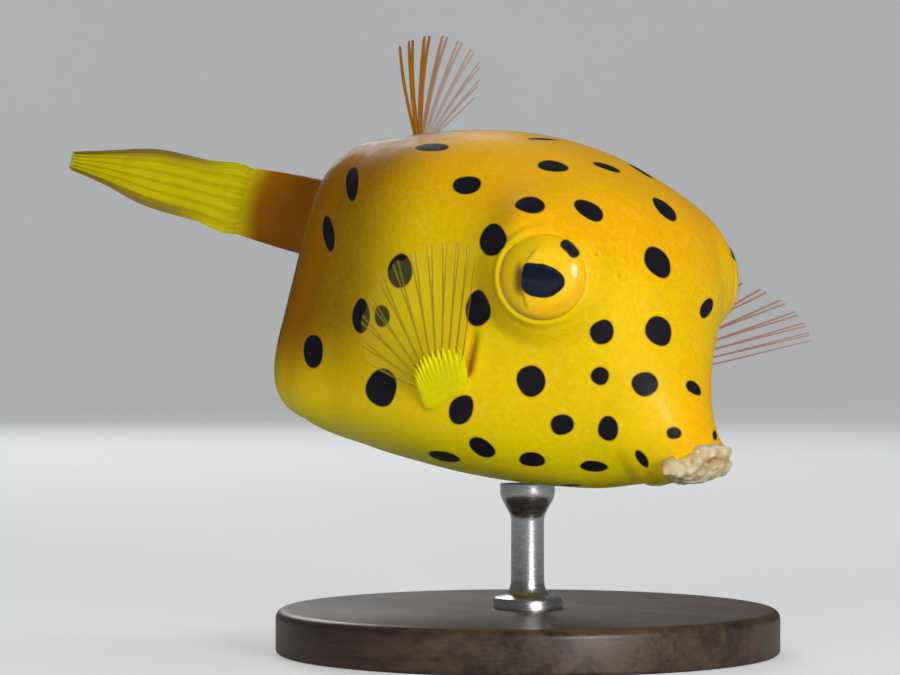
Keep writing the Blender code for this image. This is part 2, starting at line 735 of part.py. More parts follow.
def finish_node(obj, finish, parent=None):
    """Bring a piece to metres, smooth it, and hang it on its parent."""
    obj.data.transform(Matrix.Scale(MM, 4))
    obj.data.materials.clear()
    obj.data.materials.append(finish)
    obj.data.shade_smooth()
    obj.data.set_sharp_from_angle(angle=math.radians(40))
    obj.parent = parent


def main():
    """Build the fish and its stand."""
    for obj in list(bpy.data.objects):
        bpy.data.objects.remove(obj)
    finishes = {name: material(name) for name in MATERIALS}
    pose = Matrix.Translation((-ROD_X, 0, FISH_HEIGHT)) @ Matrix.Rotation(math.radians(PITCH), 4, "Y")
    fish = bpy.data.objects.new("fish", None)
    fish.location = (-ROD_X * MM, 0, FISH_HEIGHT * MM)
    fish.rotation_euler = (0, math.radians(PITCH), 0)
    bpy.context.scene.collection.objects.link(fish)

    for piece in (*head_and_torso(), tail_stem()):
        finish_node(piece, finishes["skin"], fish)
    for piece in eyes():
        finish_node(piece, finishes["eye"], fish)
    for piece in lips():
        finish_node(piece, finishes["lip"], fish)
    finish_node(caudal_fin(), finishes["fin"], fish)
    dorsal = ("dorsal_fin", DORSAL_BASE, DORSAL_RAYS, DORSAL_LENGTH, DORSAL_LEAN, DORSAL_SWAY, 1)
    anal = ("anal_fin", ANAL_BASE, ANAL_RAYS, ANAL_LENGTH, ANAL_LEAN, ANAL_SWAY, -1)
    for fin in (dorsal, anal):
        finish_node(midline_fin(*fin), finishes["fin"], fish)
    for side_name in PECTORAL_POSE:
        finish_node(pectoral_pad(side_name), finishes["skin"], fish)
        finish_node(pectoral_fin(side_name), finishes["fin"], fish)
    finish_node(stand_base(), finishes["stand_wood"])
    finish_node(stand_rod(pose), finishes["stand_metal"])


main()
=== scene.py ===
"""A young yellow boxfish, life size, on its display stand, dressed for the studio.

The fish is shaped in its own frame in millimetres: x towards the snout, y to its left, z up. A
pose pitches it nose-down over the stand and brings it to metres.
"""

import logging
import math
from dataclasses import dataclass, field
from enum import Enum

import bmesh
import bpy
import numpy as np
from bpy.types import Material, Node, NodeOutputs, NodeSocket, NodeTree, Object, bpy_prop_collection
from mathutils import Matrix, Vector
from mathutils.bvhtree import BVHTree
from mathutils.kdtree import KDTree


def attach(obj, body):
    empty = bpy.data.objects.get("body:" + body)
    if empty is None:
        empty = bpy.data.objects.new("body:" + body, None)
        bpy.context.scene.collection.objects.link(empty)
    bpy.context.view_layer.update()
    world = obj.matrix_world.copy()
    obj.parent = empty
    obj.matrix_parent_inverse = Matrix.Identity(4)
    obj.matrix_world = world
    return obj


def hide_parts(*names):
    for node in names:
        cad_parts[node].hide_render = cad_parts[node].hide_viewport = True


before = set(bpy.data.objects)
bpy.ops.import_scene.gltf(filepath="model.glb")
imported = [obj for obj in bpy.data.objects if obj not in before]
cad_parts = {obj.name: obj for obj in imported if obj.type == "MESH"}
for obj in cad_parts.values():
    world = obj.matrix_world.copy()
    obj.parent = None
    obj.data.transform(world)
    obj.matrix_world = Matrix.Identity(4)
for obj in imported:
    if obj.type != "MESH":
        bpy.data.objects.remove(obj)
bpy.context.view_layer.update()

logging.basicConfig(level=logging.INFO, format="%(message)s")
LOG = logging.getLogger("boxfish")

MM = 0.001
FAR = 9.0  # millimetres; edges farther than this don't matter
Array = np.ndarray
Triple = tuple[float, float, float]
Color = Triple
Span = tuple[float, float]
Table = tuple[tuple[float, ...], ...]


class Side(Enum):
    """A flank of the fish; its value is the sign of y there."""

    RIGHT = -1
    LEFT = 1

    @property
    def word(self) -> str:
        """The side as it stands in node names."""
        return self.name.lower()


def read(table: Table, place: Array | float) -> Array:
    """The values of a table on a smooth curve through its rows.

    Args:
        table: rows of a place and one or more values.
        place: where to read it.

    Returns:
        One row of values for each place.
    """
    rows = np.asarray(table, float)
    knots, values = rows[:, 0], rows[:, 1:]
    slopes = np.gradient(values, knots, axis=0)
    place = np.atleast_1d(place)
    i = np.clip(np.searchsorted(knots, place, side="right") - 1, 0, len(knots) - 2)
    step = (knots[i + 1] - knots[i])[:, None]
    t = (place - knots[i])[:, None] / step
    start = (2 * t**3 - 3 * t**2 + 1) * values[i] + (t**3 - 2 * t**2 + t) * step * slopes[i]
    end = (3 * t**2 - 2 * t**3) * values[i + 1] + (t**3 - t**2) * step * slopes[i + 1]
    return start + end


def step_up(value: Array, low: float, high: float) -> Array:
    """A smooth rise from 0 at low to 1 at high."""
    t = np.clip((value - low) / (high - low), 0, 1)
    return t * t * (3 - 2 * t)


def hump(value: Array, width: float) -> Array:
    """A bell of height 1 about zero."""
    return np.exp(-((value / width) ** 2))


def unit(vectors: Array) -> Array:
    """Vectors brought to length 1."""
    return vectors / np.linalg.norm(vectors, axis=-1, keepdims=True)


@dataclass(frozen=True)
class Pose:
    """How the fish hangs over its stand."""

    pitch: float = 8.5
    offset: Triple = (2.5, 0.0, 32.1)

    def turn(self) -> Array:
        """The rotation from the fish frame to the row frame."""
        return np.array(Matrix.Rotation(math.radians(self.pitch), 3, "Y"))

    def place(self, points: Array) -> Array:
        """Fish millimetres to row metres."""
        return (points @ self.turn().T + np.array(self.offset)) * MM

    def unplace(self, points: Array) -> Array:
        """Row metres to fish millimetres."""
        return (points / MM - np.array(self.offset)) @ self.turn()


POSE = Pose()


def new_object(name: str, data: bpy.types.ID) -> Object:
    """An object in the scene.

    Args:
        name: its name.
        data: its mesh, light or camera.

    Returns:
        The object.
    """
    obj = bpy.data.objects.new(name, data)
    bpy.context.scene.collection.objects.link(obj)
    return obj


def mesh_object(
    name: str, points: Array, faces: Array, posed: bool = True, closed: bool = True
) -> Object:
    """A smooth mesh from arrays.

    Args:
        name: the object's name.
        points: its corners in millimetres.
        faces: rows of four corners.
        posed: whether the points are in the fish frame, not over the stand's own centre.
        closed: whether it is a closed body, whose faces are all turned outward.

    Returns:
        The new object, in metres in the row frame.
    """
    world = POSE.place(points) if posed else points * MM
    mesh = bpy.data.meshes.new(name)
    mesh.vertices.add(len(world))
    mesh.vertices.foreach_set("co", world.astype(np.float32).ravel())
    mesh.loops.add(faces.size)
    mesh.loops.foreach_set("vertex_index", faces.astype(np.int32).ravel())
    mesh.polygons.add(len(faces))
    mesh.polygons.foreach_set("loop_start", np.arange(0, faces.size, faces.shape[1], dtype=np.int32))
    mesh.update(calc_edges=True)
    mesh.validate()
    mesh.shade_smooth()
    if closed:
        shape = bmesh.new()
        shape.from_mesh(mesh)
        bmesh.ops.recalc_face_normals(shape, faces=shape.faces)
        shape.to_mesh(mesh)
        shape.free()
    return new_object(name, mesh)


def tube_faces(rings: int, sides: int) -> Array:
    """The quads between closed rings of corners, ring after ring.

    Args:
        rings: how many rings there are.
        sides: corners in a ring.

    Returns:
        Rows of four corners.
    """
    i, j = np.meshgrid(np.arange(rings - 1), np.arange(sides), indexing="ij")
    k = (j + 1) % sides
    corners = (i * sides + j, i * sides + k, (i + 1) * sides + k, (i + 1) * sides + j)
    return np.stack(corners, -1).reshape(-1, 4)


def closed_tube(rings: Array) -> tuple[Array, Array]:
    """Points and quads of a body through rings, its ends drawn in to small rings and folded shut.

    Args:
        rings: an array of rings by sides by 3.

    Returns:
        The points and the faces.
    """
    sides = rings.shape[1]
    first, last = rings[0].mean(axis=0), rings[-1].mean(axis=0)
    shares = (0.985, 0.9, 0.7, 0.45, 0.2, 0.02)
    front = [first + (rings[0] - first) * share for share in reversed(shares)]
    rear = [last + (rings[-1] - last) * share for share in shares]
    whole = np.concatenate((np.array(front), rings, np.array(rear)))
    faces = tube_faces(len(whole), sides)
    j = np.arange(0, sides // 2 - 1)
    lids = np.stack((j, j + 1, sides - 2 - j, sides - 1 - j), -1)
    far = lids + (len(whole) - 1) * sides
    return whole.reshape(-1, 3), np.concatenate((faces, lids[:, ::-1], far[:, ::-1]))


def circle(sides: int) -> Array:
    """Angles evenly round a circle."""
    return np.arange(sides) / sides * math.tau


def turned_rings(profile: list[Span], sides: int) -> Array:
    """Level rings round an upright axis.

    Args:
        profile: the radius and the height of each ring.
        sides: points in a ring.

    Returns:
        An array of rings by sides by 3.
    """
    turn = circle(sides)
    rings = [np.stack((r * np.cos(turn), r * np.sin(turn), np.full(sides, h)), -1) for r, h in profile]
    return np.array(rings)


def vane_arrays(middle: Array, thickness: Array) -> tuple[Array, Array]:
    """Points and quads of a thin closed body about a curved sheet.

    Args:
        middle: the sheet, rows by columns by 3.
        thickness: how thick it is at each point.

    Returns:
        The points, one face of the sheet after the other, and the faces.
    """
    normal = unit(np.cross(np.gradient(middle, axis=0), np.gradient(middle, axis=1)))
    half = normal * thickness[..., None] / 2
    rows, columns = middle.shape[:2]
    count = rows * columns
    points = np.concatenate(((middle + half).reshape(-1, 3), (middle - half).reshape(-1, 3)))
    i, j = np.meshgrid(np.arange(rows - 1), np.arange(columns - 1), indexing="ij")
    a = i * columns + j
    front = np.stack((a, a + 1, a + columns + 1, a + columns), -1).reshape(-1, 4)
    back = front[:, ::-1] + count
    rim = np.concatenate(
        (
            np.arange(columns - 1),
            np.arange(rows - 1) * columns + columns - 1,
            (rows - 1) * columns + np.arange(columns - 1, 0, -1),
            np.arange(rows - 1, 0, -1) * columns,
        )
    )
    following = np.roll(rim, -1)
    edge = np.stack((following, rim, rim + count, following + count), -1)
    return points, np.concatenate((front, back, edge))


def set_values(obj: Object, **values: Array) -> None:
    """Store a number for each corner of a mesh under each given name.

    Args:
        obj: the mesh.
        values: the numbers under each name.
    """
    for name, numbers in values.items():
        attribute = obj.data.attributes.new(name, "FLOAT", "POINT")
        attribute.data.foreach_set("value", np.asarray(numbers, np.float32))


def triples(items: bpy_prop_collection, name: str) -> Array:
    """A property of three numbers, a row for each of a mesh's corners.

    Args:
        items: the mesh's corners or their normals.
        name: the property.

    Returns:
        The rows.
    """
    flat = np.empty(len(items) * 3, np.float32)
    items.foreach_get(name, flat)
    return flat.reshape(-1, 3).astype(float)


def fish_points(obj: Object) -> Array:
    """A mesh's corners in the fish frame."""
    return POSE.unplace(triples(obj.data.vertices, "co"))


def fish_normals(obj: Object) -> Array:
    """A mesh's corner normals in the fish frame."""
    return triples(obj.data.vertex_normals, "vector") @ POSE.turn()


def set_fish_points(obj: Object, points: Array) -> None:
    """Move a mesh's corners to points in the fish frame."""
    obj.data.vertices.foreach_set("co", POSE.place(points).astype(np.float32).ravel())
    obj.data.update()


def dress(obj: Object, material: Material, nodes: tuple[str, ...] = ()) -> None:
    """Give a piece its material, its body and the nodes that it stands for.

    Args:
        obj: the piece.
        material: its finish.
        nodes: the nodes of the solid model that it replaces.
    """
    obj.data.materials.clear()
    obj.data.materials.append(material)
    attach(obj, "root")
    if nodes:
        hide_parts(*nodes)
    LOG.info("%s: %d faces", obj.name, len(obj.data.polygons))


@dataclass
class Viewpoint:
    """The camera, where the fish was seen from."""

    azimuth: float = 40.0
    aside: float = -9.0
    above: float = -3.4
    distance: float = 300.0
    lens: float = 132.0
    sensor: float = 36.0
    width: int = 900
    height: int = 675
    clip: Span = (0.01, 10.0)

    def axes(self) -> tuple[Array, Array, Array]:
        """Right, up and back of the camera in the row frame.

        Returns:
            Three directions.
        """
        a = math.radians(self.azimuth)
        right = np.array((math.cos(a), math.sin(a), 0.0))
        back = np.array((math.sin(a), -math.cos(a), 0.0))
        return right, np.array((0.0, 0.0, 1.0)), back

    def fish_axes(self) -> tuple[Array, Array, Array]:
        """Right, up and back of the camera in the fish frame."""
        turn = POSE.turn()
        return tuple(axis @ turn for axis in self.axes())

    def fish_place(self) -> Array:
        """The camera in the fish frame."""
        right, up, back = self.fish_axes()
        return self.aside * right + self.above * up + self.distance * back

    def sight(self, u: float, v: float) -> Array:
        """The direction of sight through a point of the picture, in the fish frame.

        Args:
            u: how far across the picture.
            v: how far down it.

        Returns:
            The direction.
        """
        right, up, back = self.fish_axes()
        focal = self.lens / self.sensor * self.width
        return unit((u - self.width / 2) / focal * right - (v - self.height / 2) / focal * up - back)

    def scale(self) -> float:
        """Millimetres on the fish for a point of the picture."""
        return self.distance / (self.lens / self.sensor * self.width)

    def build(self) -> None:
        """Set up the camera."""
        data = bpy.data.cameras.new("camera")
        data.lens = self.lens
        data.sensor_width = self.sensor
        data.clip_start, data.clip_end = self.clip
        camera = new_object("camera", data)
        camera.location = Vector(POSE.place(self.fish_place()[None])[0])
        right, up, back = self.axes()
        camera.rotation_euler = Matrix((right, up, back)).transposed().to_euler()
        bpy.context.scene.camera = camera


@dataclass
class Carapace:
    """The bony box of the body, in sections from the lips (0) to the root of the tail (1)."""

    sections: Table = (
        # place, x and z of the back, x and z of the belly, half width
        (0.00, 20.1, -10.0, 16.3, -13.9, 3.7),
        (0.05, 18.9, -8.4, 15.3, -14.3, 3.9),
        (0.10, 17.7, -6.0, 14.2, -14.9, 4.5),
        (0.16, 16.7, -3.0, 12.3, -15.4, 5.6),
        (0.24, 15.9, 1.0, 9.2, -15.9, 7.2),
        (0.33, 14.6, 5.3, 6.0, -16.2, 9.5),
        (0.42, 11.6, 9.3, 2.6, -16.5, 11.8),
        (0.52, 6.4, 12.5, -2.0, -16.7, 13.5),
        (0.64, -1.0, 14.5, -7.5, -16.6, 14.2),
        (0.76, -8.6, 14.6, -13.4, -16.2, 14.0),
        (0.87, -15.8, 13.3, -19.2, -15.2, 13.0),
        (0.94, -20.2, 12.2, -22.8, -13.4, 11.3),
        (0.98, -22.0, 11.0, -24.4, -9.4, 8.0),
        (1.00, -22.7, 8.4, -24.6, -1.2, 3.8),
    )
    squareness: Table = (
        (0.0, 2.0), (0.16, 2.1), (0.33, 2.6), (0.52, 3.4),
        (0.76, 4.0), (0.94, 3.8), (1.0, 2.2),
    )
    flare: Table = ((0.0, 0.0), (0.24, 0.02), (0.52, 0.07), (0.76, 0.09), (0.94, 0.12), (1.0, 0.0))
    waist: Table = ((0.0, 0.0), (0.24, 0.0), (0.42, 0.04), (0.70, 0.06), (0.94, 0.05), (1.0, 0.0))
    camber: Table = (
        (0.0, 0.0), (0.16, 0.04), (0.33, 0.08), (0.52, 0.13),
        (0.76, 0.14), (0.94, 0.07), (1.0, 0.0),
    )
    bump_y: float = 11.0
    brow: tuple[float, float, float, float] = (9.4, 6.0, 3.3, 4.6)  # x, z, rise, spread
    corner: tuple[float, float, float, float] = (7.8, 9.3, 1.5, 2.6)
    dense: int = 240  # steps along a quarter ring when its length is measured
    flank_places: tuple[float, float, int] = (0.08, 0.98, 240)
    flank_turns: tuple[float, float, int] = (-60, 60, 161)

    def surface(self, place: Array | float, angle: Array | float) -> Array:
        """Points of the body.

        Args:
            place: how far along the body, 0 to 1.
            angle: from the left side over the back, in radians.

        Returns:
            An array of points of the arguments' common shape by 3.
        """
        place, angle = np.broadcast_arrays(np.asarray(place, float), np.asarray(angle, float))
        shape = place.shape
        place, angle = place.ravel(), angle.ravel()
        sections = read(self.sections, place)
        back, belly, width = sections[:, :2], sections[:, 2:4], sections[:, 4]
        tables = (self.squareness, self.flare, self.waist, self.camber)
        square, flare, waist, camber = (read(table, place)[:, 0] for table in tables)
        across = np.sign(np.cos(angle)) * np.abs(np.cos(angle)) ** (2 / square)
        up = np.sign(np.sin(angle)) * np.abs(np.sin(angle)) ** (2 / square)
        rise = up * (1 - camber * across**2)
        middle, half = (back + belly) / 2, (back - belly) / 2
        points = np.empty((len(place), 3))
        points[:, 0] = middle[:, 0] + half[:, 0] * rise
        points[:, 1] = width * across * (1 - flare * up) * (1 - waist * (1 - up**2) ** 2)
        points[:, 2] = middle[:, 1] + half[:, 1] * rise
        swelling = np.zeros(len(place))
        for side in Side:
            for x, z, bump, spread in (self.brow, self.corner):
                reach = ((points - np.array((x, side.value * self.bump_y, z))) ** 2).sum(axis=1)
                swelling += side.value * bump * np.exp(-reach / (2 * spread**2))
        points[:, 1] += swelling
        return points.reshape(*shape, 3)

    def even_ring(self, place: Array, sides: int) -> Array:
        """Rings whose points lie evenly round the body, with its midlines kept on points.

        Args:
            place: how far along the body each ring is.
            sides: points in a ring, a multiple of four.

        Returns:
            An array of rings by sides by 3.
        """
        dense = np.linspace(0, 1, self.dense)
        right_angle = math.pi / 2
        turn = dense**2 / (dense**2 + (1 - dense) ** 2) * right_angle
        quarter = sides // 4
        share = np.arange(quarter) / quarter
        angles = np.empty((len(place), sides))
        for q in range(4):
            start = q * right_angle
            whole = turn if q % 2 == 0 else right_angle - turn[::-1]
            path = self.surface(place[:, None], start + whole[None, :])
            step = np.linalg.norm(np.diff(path, axis=1), axis=2)
            reach = np.concatenate((np.zeros((len(place), 1)), np.cumsum(step, axis=1)), axis=1)
            part = slice(q * quarter, (q + 1) * quarter)
            for i in range(len(place)):
                angles[i, part] = start + np.interp(share * reach[i, -1], reach[i], whole)
        return self.surface(place[:, None], angles)

    def flank(self, x: float, z: float, side: Side) -> tuple[Array, Array]:
        """The point of the skin beside a place, and its outward normal.

        Args:
            x: how far forward.
            z: how high.
            side: which flank.

        Returns:
            The point and the normal.
        """
        place = np.linspace(*self.flank_places)[:, None]
        angle = np.radians(np.linspace(*self.flank_turns))[None, :]
        if side is Side.RIGHT:
            angle = math.pi - angle
        points = self.surface(place, angle)
        miss = (points[..., 0] - x) ** 2 + (points[..., 2] - z) ** 2
        i, j = np.unravel_index(miss.argmin(), miss.shape)
        normal = unit(np.cross(points[i + 1, j] - points[i - 1, j], points[i, j + 1] - points[i, j - 1]))
        return points[i, j], normal * math.copysign(1, normal[1] * side.value)


BODY = Carapace()


@dataclass
class Tail:
    """The tail's path and the stem round it, bent to the fish's right."""

    root: Triple = (-23.6, 0.0, 3.3)
    bend: float = 38.0
    bend_length: float = 8.0
    rise: float = 6.5
    length: float = 12.0
    tip: float = 12.5  # where its flesh has thinned away over the fin
    steps: int = 121
    half_height: Table = ((0.0, 4.6), (0.3, 3.9), (0.7, 3.6), (1.0, 3.3), (1.12, 3.15))
    half_width: Table = ((0.0, 3.5), (0.3, 2.5), (0.7, 1.55), (0.86, 0.85), (0.95, 0.42), (1.04, 0.05))

    def path(self, distance: Array) -> tuple[Array, Array]:
        """Points along the tail's middle and the heading there.

        Args:
            distance: how far from the root.

        Returns:
            The points and the headings.
        """
        reach = np.linspace(0, 1, self.steps)[:, None] * np.atleast_1d(distance)[None, :]
        bend = math.radians(self.bend) * np.clip(reach / self.bend_length, 0, 1)
        level = math.cos(math.radians(self.rise))
        upward = np.full_like(bend, math.sin(math.radians(self.rise)))
        heading = np.stack((-np.cos(bend) * level, -np.sin(bend) * level, upward), -1)
        mean = (heading[:-1] + heading[1:]).mean(axis=0) / 2
        return np.array(self.root) + mean * np.atleast_1d(distance)[:, None], heading[-1]

    def rings(self, distance: Array, turns: Array) -> Array:
        """Rings round the stem.

        Args:
            distance: how far from the root each ring is.
            turns: the angle of each point in a ring, from the left side over the top.

        Returns:
            An array of rings by points by 3.
        """
        middle, heading = self.path(distance)
        part = distance / self.length
        height, width = read(self.half_height, part), read(self.half_width, part)
        side = unit(np.cross((0, 0, 1), -heading))
        upward = np.cross(-heading, side)
        across = side[:, None, :] * (width * np.cos(turns)[None, :])[..., None]
        return middle[:, None, :] + across + upward[:, None, :] * (height * np.sin(turns)[None, :])[..., None]


TAIL = Tail()


@dataclass
class EyeSeat:
    """Where an eye sits in its brow, and the bean-shaped spot over the eye's edge."""

    side: Side
    x: float = 9.4
    z: float = 3.2
    sunk: float = 0.65
    yaw: float = 28.0
    lift: float = 4.0
    bean_reach: float = 3.42
    bean_turn: float = 52.0
    bean_half: float = 0.55
    bean_end: float = 0.42
    bean_deep: float = 3.0

    def __post_init__(self) -> None:
        """Find the seat's middle and its axes: forward, up and outward."""
        yaw, lift = math.radians(self.yaw), math.radians(self.lift)
        level = math.cos(lift)
        aside = self.side.value * math.cos(yaw) * level
        self.out = np.array((math.sin(yaw) * level, aside, math.sin(lift)))
        self.forward = unit(np.cross((0, 0, 1), self.out)) * -self.side.value
        self.up = np.cross(self.out, self.forward) * -self.side.value
        skin, _ = BODY.flank(self.x, self.z, self.side)
        self.middle = skin - self.sunk * self.out

    def local(self, points: Array) -> Array:
        """Points as forward, up and outward of the seat."""
        return (points - self.middle) @ np.stack((self.forward, self.up, self.out), -1)

    def placed(self, local: Array) -> Array:
        """Points of the seat in the fish frame."""
        return self.middle + local @ np.stack((self.forward, self.up, self.out))

    def polar(self, points: Array) -> tuple[Array, Array, Array]:
        """Points as distance from the seat's axis, turn round it and outward of the seat."""
        local = self.local(points)
        return np.linalg.norm(local[:, :2], axis=1), np.arctan2(local[:, 1], local[:, 0]), local[:, 2]

    def off_bean(self, points: Array) -> Array:
        """How far points lie outside the bean-shaped spot.

        Args:
            points: points of the skin.

        Returns:
            A distance for each.
        """
        reach, turn, out = self.polar(points)
        off_middle = np.abs(turn - math.radians(self.bean_turn)) * self.bean_reach
        along = np.clip(off_middle - self.bean_half, 0, None)
        away = np.hypot(reach - self.bean_reach, along) - self.bean_end
        return np.where(out > -self.bean_deep, np.minimum(away, FAR), FAR)


SEATS = {side: EyeSeat(side) for side in Side}


def off_beans(points: Array) -> Array:
    """How far points lie outside the nearer of the bean-shaped spots."""
    return np.minimum.reduce([seat.off_bean(points) for seat in SEATS.values()])


@dataclass(frozen=True)
class Stroke:
    """How a breast fin is held: the fan's leading and outward directions."""

    leading: Triple
    outward: Triple
    shift: float = 0.0  # how far the whole fan is moved along its leading direction
    gain: float = 1.0  # how much longer its rays are


STROKES = {
    Side.RIGHT: Stroke((0.913, 0.407, -0.049), (0.242, -0.437, 0.865)),
    Side.LEFT: Stroke((0.659, -0.251, -0.709), (0.680, 0.600, 0.420), -2.0, 1.12),
}


@dataclass
class BreastFinPlan:
    """The layout of a breast fin: its pad on the flank and the fan of rays beyond."""

    side: Side
    x: float = 0.3
    z: float = -8.5
    base: tuple[Span, Span] = ((1.8, -0.5), (-2.8, -1.5))
    base_line: Triple = (0.913, 0.407, -0.049)
    pad_centre: Span = (1.2, 0.9)
    pad_radius: float = 4.1
    pad_turns: Span = (84.0, 188.0)
    ray_turns: Span = (84.0, 164.0)
    crowding: float = 2.2
    length: Table = ((0.0, 11.4), (0.35, 11.2), (0.6, 9.6), (0.8, 7.2), (1.0, 4.6))
    sunk: float = 1.2
    proud: float = 0.4

    def __post_init__(self) -> None:
        """Find the place on the flank and the fan's directions."""
        self.skin, self.normal = BODY.flank(self.x, self.z, self.side)
        self.stroke = STROKES[self.side]
        self.leading, self.outward = np.array(self.stroke.leading), np.array(self.stroke.outward)

    def root(self, across: Array) -> Array:
        """Where the pad leaves the flank.

        Args:
            across: the columns of the fin, 0 to 1.

        Returns:
            A point for each.
        """
        forward = np.array(self.base_line) * (1, -self.side.value, 1)
        front, rear = np.array(self.base)
        spread = front + (rear - front) * across[:, None]
        upward = spread[:, 1:] * np.array((0, 0, 1.0))
        return self.skin + spread[:, :1] * forward + upward - self.normal * self.sunk

    def edge(self, across: Array) -> Array:
        """Where the pad ends and the rays begin.

        Args:
            across: the columns of the fin, 0 to 1.

        Returns:
            A point for each.
        """
        low, high = np.radians(self.pad_turns)
        turn = low + (high - low) * across
        rim = np.array(self.pad_centre) + self.pad_radius * np.stack((np.cos(turn), np.sin(turn)), -1)
        start = self.skin + self.stroke.shift * self.leading + self.normal * self.proud
        return start + rim[:, :1] * self.leading + rim[:, 1:] * self.outward

    def ray(self, across: Array) -> Array:
        """The direction of the rays, as long as the rays are.

        Args:
            across: the columns of the fin, 0 to 1.

        Returns:
            A vector for each.
        """
        low, high = np.radians(self.ray_turns)
        turn = low + (high - low) * across**self.crowding
        length = read(self.length, across) * self.stroke.gain
        return (np.cos(turn)[:, None] * self.leading + np.sin(turn)[:, None] * self.outward) * length


@dataclass(frozen=True)
class Spot:
    """A dark spot: its middle, the normal there and two half axes in the skin."""

    middle: Array
    normal: Array
    first: Array
    second: Array
    waves: Triple
    ragged: float = 0.06
    deep: float = 2.0

    def distance(self, points: Array) -> Array:
        """How far points of the skin lie outside the spot's edge, in millimetres.

        Args:
            points: points on or near the skin.

        Returns:
            A distance for each, less than zero inside.
        """
        away = points - self.middle
        lean = self.first @ self.second
        gram = np.array(((self.first @ self.first, lean), (lean, self.second @ self.second)))
        share = np.stack((away @ self.first, away @ self.second), -1) @ np.linalg.inv(gram)
        reach = np.linalg.norm(share, axis=1)
        turn = np.arctan2(share[:, 1], share[:, 0])
        waves = enumerate(self.waves, start=2)
        edge = 1 + sum(self.ragged / k * np.cos(k * turn + wave) for k, wave in waves)
        size = math.sqrt(np.linalg.norm(self.first) * np.linalg.norm(self.second))
        return (reach - edge) * size + np.clip(np.abs(away @ self.normal) - self.deep, 0, None)


